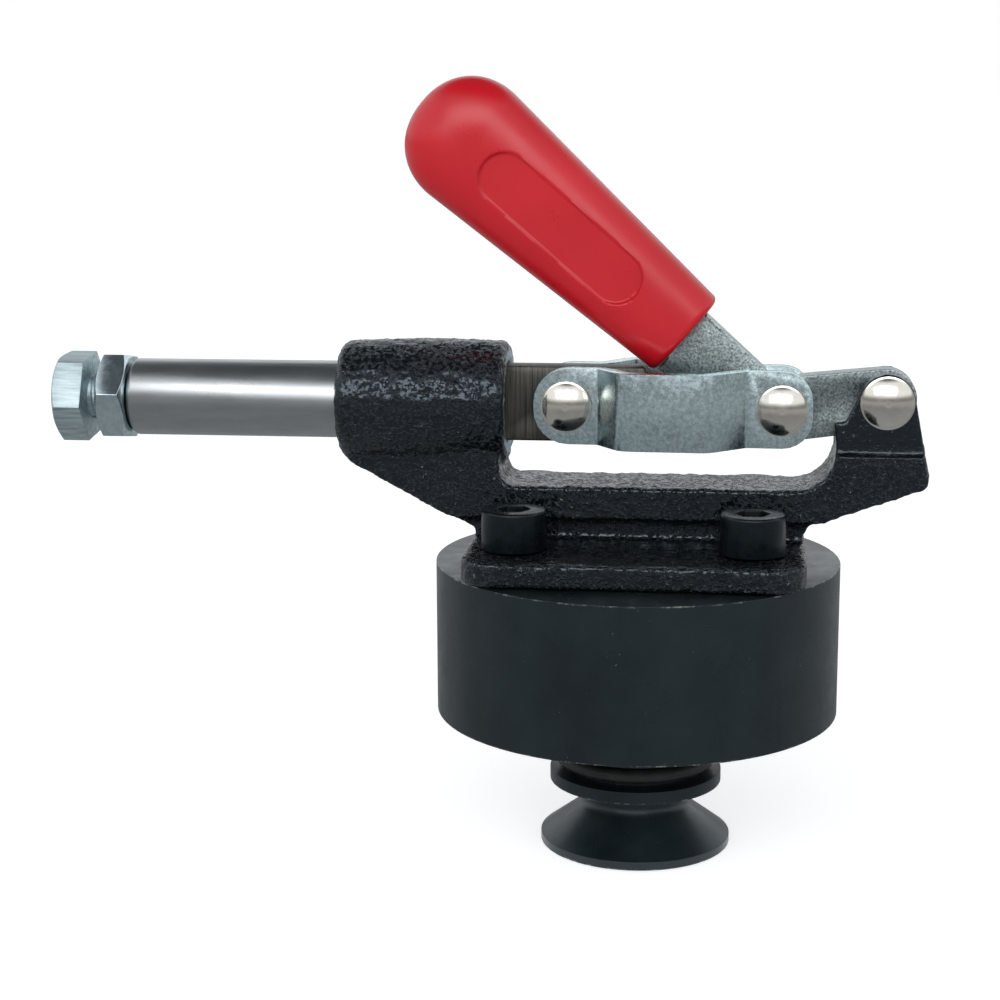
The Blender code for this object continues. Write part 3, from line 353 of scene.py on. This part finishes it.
# %% [markdown]
# ## Black paint on a rough casting
# The body is cast, and the sand leaves pebbles about a millimetre across under a coat of
# glossy black paint. The large lumps are made in the mesh further down; the finish adds
# the small ones, which give the glints, and paints light grey specks on a few of the
# highest as painted glints.
# The ears are milled flat before painting, so they stay nearly smooth. The bore's right
# end is faced on a lathe after painting, so there the bare metal shows.

# %% Enamel
EAR_STEP = 84.6 * MM
EAR_SAND = 0.15
BLUR = 0.5 * MM


def cast_enamel(rod_height, faced_from, faced_radius, ear_from):
    """Glossy black paint over sand, with a faced ring round the bore and smoother ears."""
    material, tree, shader = new_finish("black_enamel", Specular_IOR_Level=0.70,
                                        Specular_Tint=(0.74, 0.87, 1.0, 1.0))
    lumps = grain(tree, 800.0, 3.0, 0.55)
    sand = grain(tree, 1250.0, 3.0, 0.6)
    patches = grain(tree, 480.0, 4.0, 0.65)
    colour = shades(tree, lumps, (0.25, (0.0011, 0.0016, 0.0023)), (0.8, (0.0030, 0.0041, 0.0054)))
    # Painted glints: light grey specks in the paint's colour on the highest sand grains.
    painted_glints = maths(tree, 'MULTIPLY', remap(tree, sand, 0.665, 0.70), remap(tree, patches, 0.42, 0.60))
    colour = mix_colours(tree, painted_glints, colour, (0.17, 0.19, 0.21, 1.0))
    parts = add_node(tree, "ShaderNodeSeparateXYZ", {0: own_place(tree)}).outputs
    on_ear = maths(tree, 'MULTIPLY', remap(tree, parts["X"], ear_from - BLUR, ear_from + BLUR),
                   remap(tree, parts["Z"], EAR_STEP - BLUR, EAR_STEP + BLUR))
    sand_left = remap(tree, on_ear, 0.0, 1.0, 1.0, EAR_SAND)
    pimples = maths(tree, 'MULTIPLY', remap(tree, sand, 0.50, 0.68), sand_left)
    up_from_rod = maths(tree, 'SUBTRACT', parts["Z"], rod_height)
    from_rod = maths(tree, 'SQRT', maths(tree, 'ADD', maths(tree, 'MULTIPLY', parts["Y"], parts["Y"]),
                                         maths(tree, 'MULTIPLY', up_from_rod, up_from_rod)))
    faced = maths(tree, 'MULTIPLY', remap(tree, parts["X"], faced_from - BLUR, faced_from),
                  remap(tree, from_rod, faced_radius, faced_radius + BLUR, 1.0, 0.0))
    before_beam = remap(tree, parts["X"], faced_from + 1.6 * MM, faced_from + 2.0 * MM, 1.0, 0.0)
    faced = maths(tree, 'MULTIPLY', faced, before_beam)
    colour = mix_colours(tree, faced, colour, (0.50, 0.53, 0.54, 1.0))
    paint_rough = remap(tree, patches, 0.40, 0.65, 0.07, 0.16)
    rough = maths(tree, 'ADD', paint_rough, maths(tree, 'MULTIPLY', faced, 0.25))
    pimpled = bump(tree, pimples, 0.24 * MM, 1.0, bump(tree, lumps, 0.20 * MM, 0.6))
    feed(tree, shader, Base_Color=colour, Roughness=rough, Metallic=faced, Normal=pimpled)
    return material


print("enamel ready")

# %% [markdown]
# ## Bright metals
# The rod is ground and polished, and its flat tongue is milled, which leaves upright lines
# on a browner steel. The plates, the lever, the bolt and the nut are zinc plated: a cool
# silver that carries a fine crystal grain. The rivets are nickel bright, and warmer.

# %% Ground rod and milled tongue
def ground_rod(tongue_from):
    """Ground steel, which turns to browner milled steel where the tongue begins."""
    material, tree, shader = new_finish("ground_steel", Metallic=1.0)
    parts = add_node(tree, "ShaderNodeSeparateXYZ", {0: own_place(tree)}).outputs
    tongue = remap(tree, parts["X"], tongue_from - 0.2 * MM, tongue_from + 0.2 * MM)
    round_the_rod = grain(tree, 400.0, 4.0, 0.6, stretch=(0.25, 1.0, 1.0))
    mill_lines = grain(tree, 900.0, 3.0, 0.65, stretch=(3.2, 1.0, 0.07))
    rod_colour = shades(tree, round_the_rod, (0.3, (0.39, 0.405, 0.42)), (0.7, (0.47, 0.485, 0.50)))
    tongue_colour = shades(tree, mill_lines, (0.30, (0.050, 0.047, 0.041)), (0.72, (0.165, 0.158, 0.142)))
    colour = mix_colours(tree, tongue, rod_colour, tongue_colour)
    rod_rough = remap(tree, grain(tree, 150.0, 5.0, 0.7, stretch=(0.3, 1.0, 1.0)), 0.3, 0.7, 0.25, 0.36)
    rough = maths(tree, 'ADD', rod_rough, maths(tree, 'MULTIPLY', tongue, 0.12))
    lines = maths(tree, 'MULTIPLY', mill_lines, tongue)
    hair = grain(tree, 2500.0, 2.0, 0.6, stretch=(0.06, 1.0, 1.0))
    feed(tree, shader, Base_Color=colour, Roughness=rough,
         Normal=bump(tree, lines, 0.05 * MM, 0.8, bump(tree, hair, 0.004 * MM, 0.4)))
    return material


print("rod finish ready")

# %% Zinc and nickel
def zinc(name, base, contrast, grains, rough_range, depth, stretch=None):
    """Zinc plate: a cool silver with a crystal grain of the given contrast."""
    material, tree, shader = new_finish(name, Metallic=1.0)
    crystals = grain(tree, grains, 3.0, 0.7, stretch=stretch)
    cloud = grain(tree, 120.0, 3.0, 0.6)
    dark = tuple(c * (1 - contrast) for c in base)
    light = tuple(min(0.95, c * (1 + contrast)) for c in base)
    colour = shades(tree, crystals, (0.33, dark), (0.66, light))
    rough = remap(tree, maths(tree, 'ADD', crystals, cloud), 0.7, 1.3, *rough_range)
    feed(tree, shader, Base_Color=colour, Roughness=rough,
         Normal=bump(tree, crystals, depth, 0.6, bump(tree, cloud, 0.12 * MM, 0.3)))
    return material


def nickel():
    """Bright nickel, a little warm, with faint clouds."""
    material, tree, shader = new_finish("rivet_nickel", Metallic=1.0)
    cloud = grain(tree, 500.0, 4.0, 0.6)
    colour = shades(tree, cloud, (0.3, (0.78, 0.73, 0.65)), (0.7, (0.86, 0.82, 0.75)))
    rough = remap(tree, cloud, 0.3, 0.7, 0.11, 0.19)
    feed(tree, shader, Base_Color=colour, Roughness=rough,
         Normal=bump(tree, grain(tree, 900.0, 2.0), 0.012 * MM, 0.4))
    return material


print("zinc and nickel ready")

# %% [markdown]
# ## Red plastic and black rubber
# The grip is injection moulded in a glossy red plastic. It flowed into the mould, so its
# skin is very slightly wavy, and a few dark specks of dust sit on it. The sealing ring is
# plain rubber with the bloom that old rubber gets.

# %% Plastic and rubber
def red_plastic():
    """Glossy red plastic with a wavy skin and a few specks."""
    material, tree, shader = new_finish("red_plastic")
    cloud = grain(tree, 55.0, 3.0, 0.5)
    specks = grain(tree, 800.0, 1.0, 0.5)
    colour = shades(tree, cloud, (0.3, (0.52, 0.0050, 0.0125)), (0.7, (0.59, 0.0075, 0.0170)))
    dust = maths(tree, 'MULTIPLY', remap(tree, specks, 0.795, 0.82), 0.8)
    colour = mix_colours(tree, dust, colour, (0.06, 0.01, 0.01, 1.0))
    rough = remap(tree, grain(tree, 140.0, 4.0, 0.6), 0.3, 0.7, 0.27, 0.34)
    waves = bump(tree, cloud, 0.25 * MM, 0.25)
    feed(tree, shader, Base_Color=colour, Roughness=rough,
         Normal=bump(tree, grain(tree, 1300.0, 2.0), 0.010 * MM, 0.5, waves))
    return material


def black_rubber():
    """Matt black rubber with a patchy bloom."""
    material, tree, shader = new_finish("black_rubber")
    cloud = grain(tree, 300.0, 4.0, 0.6)
    colour = shades(tree, cloud, (0.3, (0.008, 0.008, 0.008)), (0.7, (0.022, 0.022, 0.022)))
    feed(tree, shader, Base_Color=colour, Roughness=remap(tree, cloud, 0.3, 0.7, 0.42, 0.6),
         Normal=bump(tree, grain(tree, 2500.0, 3.0), 0.02 * MM, 0.5))
    return material


print("plastic and rubber ready")

# %% [markdown]
# ## Two ways to a piece
# Most pieces come in one of two ways. A round one is spun: a half outline is turned about
# its axis. One that the solids already have right is copied, its loose triangles are
# merged, its flat faces are joined, and a bevel eases the edges, because no real edge is
# perfectly sharp.

# %% Shape helpers
def settle(piece):
    """Bakes a piece's modifiers into its mesh."""
    bpy.context.view_layer.update()
    graph = bpy.context.evaluated_depsgraph_get()
    mesh = bpy.data.meshes.new_from_object(piece.evaluated_get(graph))
    piece.modifiers.clear()
    piece.data = mesh
    return piece


def new_piece(name, bm, turn_out=True):
    """Makes an object of a mesh in work, with its faces turned outwards if asked."""
    if turn_out:
        bmesh.ops.recalc_face_normals(bm, faces=bm.faces)
    mesh = bpy.data.meshes.new(name)
    bm.to_mesh(mesh)
    bm.free()
    piece = bpy.data.objects.new(name, mesh)
    bpy.context.scene.collection.objects.link(piece)
    return piece


def ease_edges(piece, width, segments=2, corner=32.0):
    """Smooth shading, and a bevel on every edge sharper than the corner angle."""
    piece.data.shade_smooth()
    if width:
        bevel = piece.modifiers.new("eased_edges", 'BEVEL')
        bevel.width = width
        bevel.segments = segments
        bevel.limit_method = 'ANGLE'
        bevel.angle_limit = math.radians(corner)
        bevel.harden_normals = True
    return piece


def keep_crisp(piece, corner):
    """Smooth shading, but a sharp edge wherever two faces meet at more than the corner angle."""
    piece.data.shade_smooth()
    piece.data.set_sharp_from_angle(angle=math.radians(corner))
    return piece


def present(piece, body, slot, finish, *nodes):
    """Gives a piece its finish, its body and the solids that it stands for."""
    piece.data.materials.clear()
    piece.data.materials.append(finish)
    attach(piece, body)
    if nodes:
        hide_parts(*nodes)
    print(piece.name, "on", body, "-", len(piece.data.polygons), "faces")
    return piece


def merged_copy(node):
    """A CAD node's triangles, merged, with its flat faces joined."""
    bm = bmesh.new()
    bm.from_mesh(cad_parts[node].data)
    bmesh.ops.remove_doubles(bm, verts=bm.verts, dist=0.002 * MM)
    bmesh.ops.dissolve_limit(bm, angle_limit=math.radians(1.0), verts=bm.verts, edges=bm.edges)
    return bm


def spun(name, outline, steps, place=(0, 0, 0), turn=None):
    """Spins a half outline, given as (radius, height), about Z and closes its poles."""
    bm = bmesh.new()
    verts = [bm.verts.new((radius, 0, height)) for radius, height in outline]
    edges = [bm.edges.new(pair) for pair in zip(verts, verts[1:])]
    bmesh.ops.spin(bm, geom=verts + edges, cent=(0, 0, 0), axis=(0, 0, 1),
                   angle=2 * math.pi, steps=steps, use_merge=True)
    bmesh.ops.remove_doubles(bm, verts=bm.verts, dist=0.001 * MM)
    if turn:
        bmesh.ops.rotate(bm, matrix=turn, verts=bm.verts)
    bmesh.ops.translate(bm, vec=place, verts=bm.verts)
    return new_piece(name, bm)


print("shape helpers ready")

# %% [markdown]
# ## The turned adapter
# One bar of steel makes the thick disc, the spigot with its groove, the neck and the
# flared foot, so one spin makes them here. The four tapped holes are cut afterwards, as
# they are in the workshop.

# %% Adapter
DISC_RADIUS = 41.7 * MM
DISC_TOP = 61.0 * MM
DISC_BOTTOM = 29.5 * MM
LAND_RADIUS = 18.0 * MM
GROOVE_RADIUS = 13.6 * MM
GROOVE_TOP = 21.2 * MM
GROOVE_BOTTOM = 16.0 * MM
LAND_BOTTOM = 13.4 * MM
NECK_RADIUS = 10.4 * MM
NECK_BOTTOM = 8.8 * MM
FOOT_RADIUS = 19.95 * MM
FOOT_RIM = 1.7 * MM
NECK_FILLET = 3.0 * MM
FILLET_STEPS = 8
HOLE_RADIUS = 4.3 * MM
HOLE_DEPTH = 17 * MM
DRILL_LENGTH = 40 * MM
ADAPTER_EASE = 0.45 * MM
SCREW_PLACES = {
    "front_left": (-23.65 * MM, -18.3 * MM),
    "front_right": (23.65 * MM, -18.3 * MM),
    "rear_left": (-23.65 * MM, 18.3 * MM),
    "rear_right": (23.65 * MM, 18.3 * MM),
}

slope = math.atan2(NECK_BOTTOM - FOOT_RIM, FOOT_RADIUS - NECK_RADIUS)
reach = NECK_FILLET * math.tan((math.pi / 2 - slope) / 2)
fillet_centre = (NECK_RADIUS + NECK_FILLET, NECK_BOTTOM + reach)
fillet = []
for step in range(FILLET_STEPS + 1):
    angle = math.pi + (math.pi / 2 - slope) * step / FILLET_STEPS
    fillet.append((fillet_centre[0] + NECK_FILLET * math.cos(angle),
                   fillet_centre[1] + NECK_FILLET * math.sin(angle)))
adapter_outline = [
    (0.0, DISC_TOP), (DISC_RADIUS, DISC_TOP), (DISC_RADIUS, DISC_BOTTOM), (LAND_RADIUS, DISC_BOTTOM),
    (LAND_RADIUS, GROOVE_TOP), (GROOVE_RADIUS, GROOVE_TOP), (GROOVE_RADIUS, GROOVE_BOTTOM),
    (LAND_RADIUS, GROOVE_BOTTOM), (LAND_RADIUS, LAND_BOTTOM), (NECK_RADIUS, LAND_BOTTOM),
    *fillet, (FOOT_RADIUS, FOOT_RIM), (FOOT_RADIUS, 0.0), (0.0, 0.0),
]
adapter = spun("turned_adapter", adapter_outline, 128)
bm = bmesh.new()
for x, y in SCREW_PLACES.values():
    hole = bmesh.ops.create_cone(bm, cap_ends=True, segments=32, radius1=HOLE_RADIUS, radius2=HOLE_RADIUS,
                                 depth=DRILL_LENGTH)["verts"]
    drill_middle = DISC_TOP - HOLE_DEPTH + DRILL_LENGTH / 2
    bmesh.ops.translate(bm, vec=(x, y, drill_middle), verts=hole)
drill = new_piece("drill", bm)
cut = adapter.modifiers.new("tapped_holes", 'BOOLEAN')
cut.object = drill
cut.solver = 'EXACT'
settle(adapter)
bpy.data.objects.remove(drill)
ease_edges(adapter, ADAPTER_EASE, 3)
worn_corners = [(DISC_RADIUS, DISC_TOP), (DISC_RADIUS, DISC_BOTTOM), (LAND_RADIUS, LAND_BOTTOM),
                (FOOT_RADIUS, 0.0)]
present(adapter, "base", "black_oxide_steel", turned_black(worn_corners), "adapter_base")

# %% [markdown]
# ## The sealing ring
# A ring of round section: a circle, set off from the axis and spun once round.

# %% O-ring
O_RING_RADIUS = 1.5 * MM
O_RING_GAP = 0.3 * MM

bm = bmesh.new()
bmesh.ops.create_circle(bm, segments=20, radius=O_RING_RADIUS)
bmesh.ops.rotate(bm, matrix=Matrix.Rotation(math.pi / 2, 3, 'X'), verts=bm.verts)
section_middle = (GROOVE_RADIUS + O_RING_GAP + O_RING_RADIUS, 0, (GROOVE_TOP + GROOVE_BOTTOM) / 2)
bmesh.ops.translate(bm, vec=section_middle, verts=bm.verts)
bmesh.ops.spin(bm, geom=bm.verts[:] + bm.edges[:], cent=(0, 0, 0), axis=(0, 0, 1),
               angle=2 * math.pi, steps=96, use_merge=True)
present(ease_edges(new_piece("sealing_ring", bm), 0), "base", "black_rubber", black_rubber(), "o_ring")

# %% [markdown]
# ## The rough casting
# A casting has no sharp edge anywhere, so its copy is rebuilt from small cubes of space,
# called voxels, which rounds every corner a little. Then each point moves in or out by
# noise of two sizes, as the sand did to the real one. The bore, the slot close to the rod
# and the underside are machined, so they are left smooth, and the ears' flats nearly so.

# %% Casting
ROD_HEIGHT = 93.4 * MM
REAR_PIVOT = Vector((49.7, 0.0, 95.2)) * MM
BARREL_RIGHT = -26.6 * MM
BORE_RADIUS = 8.3 * MM
VOXEL = 0.5 * MM
EAR_FROM = 36.0 * MM
FLANGE_BOTTOM = 61.3 * MM
FACED_DEPTH = 1.2 * MM
FACED_RADIUS = 10.4 * MM
COARSE_GRAIN = 1.7 * MM
COARSE_DEPTH = 0.19 * MM
FINE_GRAIN = 0.8 * MM
FINE_DEPTH = 0.14 * MM

casting = new_piece("cast_body", merged_copy("clamp_body"), turn_out=False)
voxels = casting.modifiers.new("voxels", 'REMESH')
voxels.mode = 'VOXEL'
voxels.voxel_size = VOXEL
voxels.use_smooth_shade = True
relax = casting.modifiers.new("relax", 'SMOOTH')
relax.factor = 0.5
relax.iterations = 2
settle(casting)


def sand_depth(point, normal):
    """How far a point of the casting moves, by the sand's two grain sizes."""
    from_rod = math.hypot(point.y, point.z - ROD_HEIGHT)
    if from_rod < BORE_RADIUS + 0.6 * MM or point.z < FLANGE_BOTTOM + 0.4 * MM:
        return 0.0
    on_ear = point.x > EAR_FROM and point.z > EAR_STEP
    strength = EAR_SAND if on_ear and abs(normal.y) > 0.8 else 1.0
    coarse = noise.noise(point / COARSE_GRAIN)
    fine = noise.noise(point / FINE_GRAIN + Vector((7, 3, 5)))
    return strength * (COARSE_DEPTH * coarse + FINE_DEPTH * fine)


sanded = []
for vertex, facing in zip(casting.data.vertices, casting.data.vertex_normals):
    sanded.extend(vertex.co + facing.vector * sand_depth(vertex.co, facing.vector))
casting.data.vertices.foreach_set("co", sanded)
casting.data.shade_smooth()
enamel = cast_enamel(ROD_HEIGHT, BARREL_RIGHT - FACED_DEPTH, FACED_RADIUS, EAR_FROM)
present(casting, "base", "black_enamel", enamel, "clamp_body")

# %% [markdown]
# ## Socket-head screws
# Four cap screws hold the casting down. Their solids are right, so each is copied and its
# edges are eased. One finish serves all four.

# %% Screws
SCREW_EASE = 0.2 * MM

screw_finish = forged_black()
for place in SCREW_PLACES:
    screw = new_piece("cap_screw_" + place, merged_copy("base_screw_" + place), turn_out=False)
    present(ease_edges(screw, SCREW_EASE), "base", "screw_steel", screw_finish, "base_screw_" + place)

# %% [markdown]
# ## Link plates and lever
# These are punched from sheet, bent, and tumbled before plating, which rounds their edges
# well. The wide, soft bevel is what draws the bright lines along them in the photograph.

# %% Plates and lever
PLATE_EASE = 0.7 * MM

plate_zinc = zinc("zinc_plate", (0.60, 0.725, 0.755), 0.22, 1300.0, (0.16, 0.32), 0.03 * MM)
lever_zinc = zinc("zinc_lever", (0.35, 0.405, 0.41), 0.55, 2100.0, (0.24, 0.40), 0.08 * MM)
for side in ("front", "rear"):
    plate = new_piece("plate_" + side, merged_copy("link_" + side), turn_out=False)
    present(ease_edges(plate, PLATE_EASE, 3), "links", "zinc_plate", plate_zinc, "link_" + side)
lever = new_piece("handle_plate", merged_copy("lever"), turn_out=False)
present(ease_edges(lever, PLATE_EASE, 3), "handle", "zinc_plate", lever_zinc, "lever")

# %% [markdown]
# ## Rivets
# A rivet is a pin whose ends are spun over into domes. The forming tool leaves a small
# mark in the middle and a crisp edge round the rim. The pin inside the plunger's tongue is
# hidden between the plates, so it keeps its solid and only takes the rivets' finish.

# %% Rivets
MIDDLE_PIVOT = Vector((28.99927, 0.0, 93.17028)) * MM
PLUNGER_PIVOT = Vector((-14.30012, 0.0, 93.4)) * MM
SHANK_RADIUS = 3.0 * MM
LINK_HEAD = (5.15 * MM, 1.85 * MM, 6.35 * MM)
REAR_HEAD = (5.35 * MM, 1.95 * MM, 7.7 * MM)
PLATE_INNER = 3.05 * MM
MARK_DEPTH = 0.05 * MM
MARK_RADIUS = 0.55 * MM
RIM_HEIGHT = 0.15 * MM
DOME_STEPS = 16
RIVET_STEPS = 64
RIVET_CORNER = 40


def head_outline(radius, height, seat):
    """A domed head from its middle to its rim: (radius, height) above the seat."""
    ball = (radius ** 2 + height ** 2) / (2 * height)
    start = math.asin(MARK_RADIUS / ball)
    end = math.acos((ball - height) / ball)
    points = [(0.0, seat + height - MARK_DEPTH), (0.3 * MM, seat + height - 0.8 * MARK_DEPTH)]
    for step in range(DOME_STEPS + 1):
        angle = start + (end - start) * step / DOME_STEPS
        points.append((ball * math.sin(angle), seat + height - ball + ball * math.cos(angle)))
    points[-1] = (radius, seat + RIM_HEIGHT)
    return points + [(radius, seat)]


def whole_rivet(name, head, place, body, node):
    """A rivet across the clamp: half its outline, mirrored, and spun about Y."""
    half = head_outline(*head) + [(SHANK_RADIUS, head[2])]
    outline = half + [(radius, -height) for radius, height in reversed(half)]
    rivet = spun(name, outline, RIVET_STEPS, place, Matrix.Rotation(math.pi / 2, 3, 'X'))
    present(keep_crisp(rivet, RIVET_CORNER), body, "rivet_nickel", rivet_finish, node)


rivet_finish = nickel()
whole_rivet("rivet_rear", REAR_HEAD, REAR_PIVOT, "base", "rear_rivet")
whole_rivet("rivet_middle", LINK_HEAD, MIDDLE_PIVOT, "handle", "middle_rivet")
stub = [(SHANK_RADIUS, LINK_HEAD[2]), (SHANK_RADIUS, PLATE_INNER), (0.0, PLATE_INNER)]
for side, turn in (("front", math.pi / 2), ("rear", -math.pi / 2)):
    head = spun("rivet_plunger_" + side, head_outline(*LINK_HEAD) + stub, RIVET_STEPS, PLUNGER_PIVOT,
                Matrix.Rotation(turn, 3, 'X'))
    present(keep_crisp(head, RIVET_CORNER), "links", "rivet_nickel", rivet_finish,
            "plunger_rivet_head_" + side)
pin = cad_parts["plunger_pivot_pin"]
pin.data.materials.clear()
pin.data.materials.append(rivet_finish)

# %% [markdown]
# ## Plunger, bolt and nut
# The rod and its tongue are one piece of steel. The bolt's shank is made thinner, down to
# the core of its thread. The thread itself is a small ridge that climbs round the core: a
# triangle is spun about the axis and moved along it at each step.

# %% Plunger
TONGUE_FROM = -29.5 * MM
ROD_EASE = 0.2 * MM

rod = new_piece("plunger_rod", merged_copy("plunger"), turn_out=False)
present(ease_edges(rod, ROD_EASE), "plunger", "ground_steel", ground_rod(TONGUE_FROM), "plunger")

# %% Bolt and nut
BOLT_SEAT = -115.2 * MM
BOLT_RADIUS = 5.0 * MM
CORE_RADIUS = 4.3 * MM
THREAD_PITCH = 1.5 * MM
THREAD_TURNS = 12
THREAD_STEPS = 28
THREAD_HALF = 0.70 * MM
THREAD_SUNK = 0.1 * MM
THREAD_CREST = 0.03 * MM
THREAD_START = 0.3 * MM
HEX_EASE = 0.15 * MM

hex_zinc = zinc("zinc_hexagons", (0.50, 0.595, 0.62), 0.26, 1100.0, (0.46, 0.58), 0.14 * MM,
                stretch=(0.10, 1.0, 1.0))
nut_zinc = zinc("zinc_nut", (0.58, 0.69, 0.72), 0.10, 600.0, (0.14, 0.26), 0.03 * MM)
bm = merged_copy("spindle_bolt")
shank = [v for v in bm.verts if abs(math.hypot(v.co.y, v.co.z - ROD_HEIGHT) - BOLT_RADIUS) < 0.1 * MM]
thinner = CORE_RADIUS / BOLT_RADIUS
bmesh.ops.scale(bm, vec=(1, thinner, thinner), space=Matrix.Translation((0, 0, -ROD_HEIGHT)), verts=shank)
bolt = new_piece("hexagon_bolt", bm, turn_out=False)
present(ease_edges(bolt, HEX_EASE), "spindle", "zinc_plate", hex_zinc, "spindle_bolt")

bm = bmesh.new()
ridge = [bm.verts.new((CORE_RADIUS - THREAD_SUNK, 0, -THREAD_HALF)),
         bm.verts.new((BOLT_RADIUS - THREAD_CREST, 0, 0)),
         bm.verts.new((CORE_RADIUS - THREAD_SUNK, 0, THREAD_HALF))]
edges = [bm.edges.new(pair) for pair in zip(ridge, ridge[1:] + ridge[:1])]
climb = (0, 0, THREAD_PITCH / THREAD_STEPS)
bmesh.ops.spin(bm, geom=ridge + edges, cent=(0, 0, 0), axis=(0, 0, 1), dvec=climb,
               angle=2 * math.pi * THREAD_TURNS, steps=THREAD_TURNS * THREAD_STEPS)
bmesh.ops.holes_fill(bm, edges=[e for e in bm.edges if e.is_boundary], sides=0)
bmesh.ops.rotate(bm, matrix=Matrix.Rotation(math.pi / 2, 3, 'Y'), verts=bm.verts)
bmesh.ops.translate(bm, vec=(BOLT_SEAT + THREAD_START, 0, ROD_HEIGHT), verts=bm.verts)
thread = new_piece("bolt_thread", bm)
present(ease_edges(thread, 0), "spindle", "zinc_plate", hex_zinc)
nut = new_piece("lock_nut", merged_copy("jam_nut"), turn_out=False)
present(ease_edges(nut, HEX_EASE), "jam_nut", "zinc_plate", nut_zinc, "jam_nut")

# %% [markdown]
# ## The grip
# The grip is a tapered, rounded bar with a round tip. A circle is extruded ring by ring
# along Z, and then each point is drawn out to a superellipse, which is a shape between an
# ellipse and a rectangle. The same pass presses the long panel, with its flat floor, into
# both sides. Last the pocket for the lever's tang is cut and the whole is leaned over to
# its place.

# %% Grip
GRIP_MOUTH = Vector((9.44927, 0.0, 107.50028)) * MM
GRIP_ANGLE = math.radians(41.2)
GRIP_LENGTH = 71.0 * MM
TIP_LENGTH = 12.9 * MM
TIP_POWER = 2.15
GRIP_WIDTH = 19.2 * MM
GRIP_THICKNESS = 14.0 * MM
WIDTH_TAPER = math.radians(3.6)
THICKNESS_TAPER = math.radians(1.7)
SECTION_POWER = 2.4
MOUTH_ROUNDING = 1.2 * MM
PANEL_START = 13.1 * MM
PANEL_LENGTH = 39.9 * MM
PANEL_HALF = 5.25 * MM
PANEL_DEPTH = 0.45 * MM
PANEL_WALL = 0.24 * MM
RING_STEP = 0.3 * MM
TIP_RINGS = 44
GRIP_SEGMENTS = 208
GRIP_CORNER = 50
POCKET_WIDTH = 11.6 * MM
POCKET_THICKNESS = 6.1 * MM
POCKET_DEPTH = 47.3 * MM


def half_sizes(along):
    """Half width and half thickness of the grip at a distance from its mouth."""
    straight = min(along, GRIP_LENGTH - TIP_LENGTH)
    width = GRIP_WIDTH / 2 + straight * math.tan(WIDTH_TAPER)
    thickness = GRIP_THICKNESS / 2 + straight * math.tan(THICKNESS_TAPER)
    closing = min(1.0, max(0.0, along - GRIP_LENGTH + TIP_LENGTH) / TIP_LENGTH)
    share = (1 - closing ** TIP_POWER) ** (1 / TIP_POWER)
    opening = MOUTH_ROUNDING - min(along, MOUTH_ROUNDING)
    eased = MOUTH_ROUNDING - math.sqrt(MOUTH_ROUNDING ** 2 - opening ** 2)
    return width * share - eased, thickness * share - eased


def panel_share(across, along):
    """How fully a point of the grip's side is inside the long rounded panel."""
    middle = min(max(along, PANEL_START + PANEL_HALF), PANEL_START + PANEL_LENGTH - PANEL_HALF)
    outside = math.hypot(across, along - middle) - PANEL_HALF
    share = min(1.0, max(0.0, 0.5 - outside / (2 * PANEL_WALL)))
    return share * share * (3 - 2 * share)


tip_start = GRIP_LENGTH - TIP_LENGTH
levels = [MOUTH_ROUNDING * (1 - math.cos(math.radians(15 * i))) for i in range(6)]
levels += [MOUTH_ROUNDING + i * RING_STEP for i in range(int((tip_start - MOUTH_ROUNDING) / RING_STEP) + 1)]
levels += [tip_start + TIP_LENGTH * math.sin(math.pi / 2 * i / TIP_RINGS) for i in range(1, TIP_RINGS + 1)]

bm = bmesh.new()
bmesh.ops.create_circle(bm, segments=GRIP_SEGMENTS, radius=1.0)
ring = bm.edges[:]
bmesh.ops.holes_fill(bm, edges=ring, sides=0)
for low, high in zip(levels, levels[1:]):
    grown = bmesh.ops.extrude_edge_only(bm, edges=ring)["geom"]
    ring = [e for e in of_kind(grown, bmesh.types.BMEdge) if all(v in grown for v in e.verts)]
    bmesh.ops.translate(bm, vec=(0, 0, high - low), verts=of_kind(grown, bmesh.types.BMVert))
for vertex in bm.verts:
    along = vertex.co.z
    turn = math.atan2(vertex.co.y, vertex.co.x)
    width, thickness = (max(size, 1e-7) for size in half_sizes(along))
    reach = (abs(math.cos(turn) / width) ** SECTION_POWER
             + abs(math.sin(turn) / thickness) ** SECTION_POWER) ** (-1 / SECTION_POWER)
    across, deep = reach * math.cos(turn), reach * math.sin(turn)
    inside = panel_share(across, along)
    if inside:
        rim = thickness * (1 - (PANEL_HALF / width) ** SECTION_POWER) ** (1 / SECTION_POWER)
        deep += inside * (math.copysign(rim - PANEL_DEPTH, deep) - deep)
    vertex.co = (across, deep, along)
bmesh.ops.remove_doubles(bm, verts=bm.verts, dist=0.005 * MM)
grip = new_piece("red_grip", bm)

bm = bmesh.new()
bmesh.ops.create_cube(bm, size=1.0)
bmesh.ops.scale(bm, vec=(POCKET_WIDTH, POCKET_THICKNESS, 2 * POCKET_DEPTH), verts=bm.verts)
pocket = new_piece("pocket", bm)
cut = grip.modifiers.new("tang_pocket", 'BOOLEAN')
cut.object = pocket
cut.solver = 'EXACT'
settle(grip)
bpy.data.objects.remove(pocket)
lean = Matrix.Translation(GRIP_MOUTH) @ Matrix.Rotation(GRIP_ANGLE - math.pi / 2, 4, 'Y')
grip.data.transform(lean)
present(keep_crisp(grip, GRIP_CORNER), "handle", "red_plastic", red_plastic(), "grip")
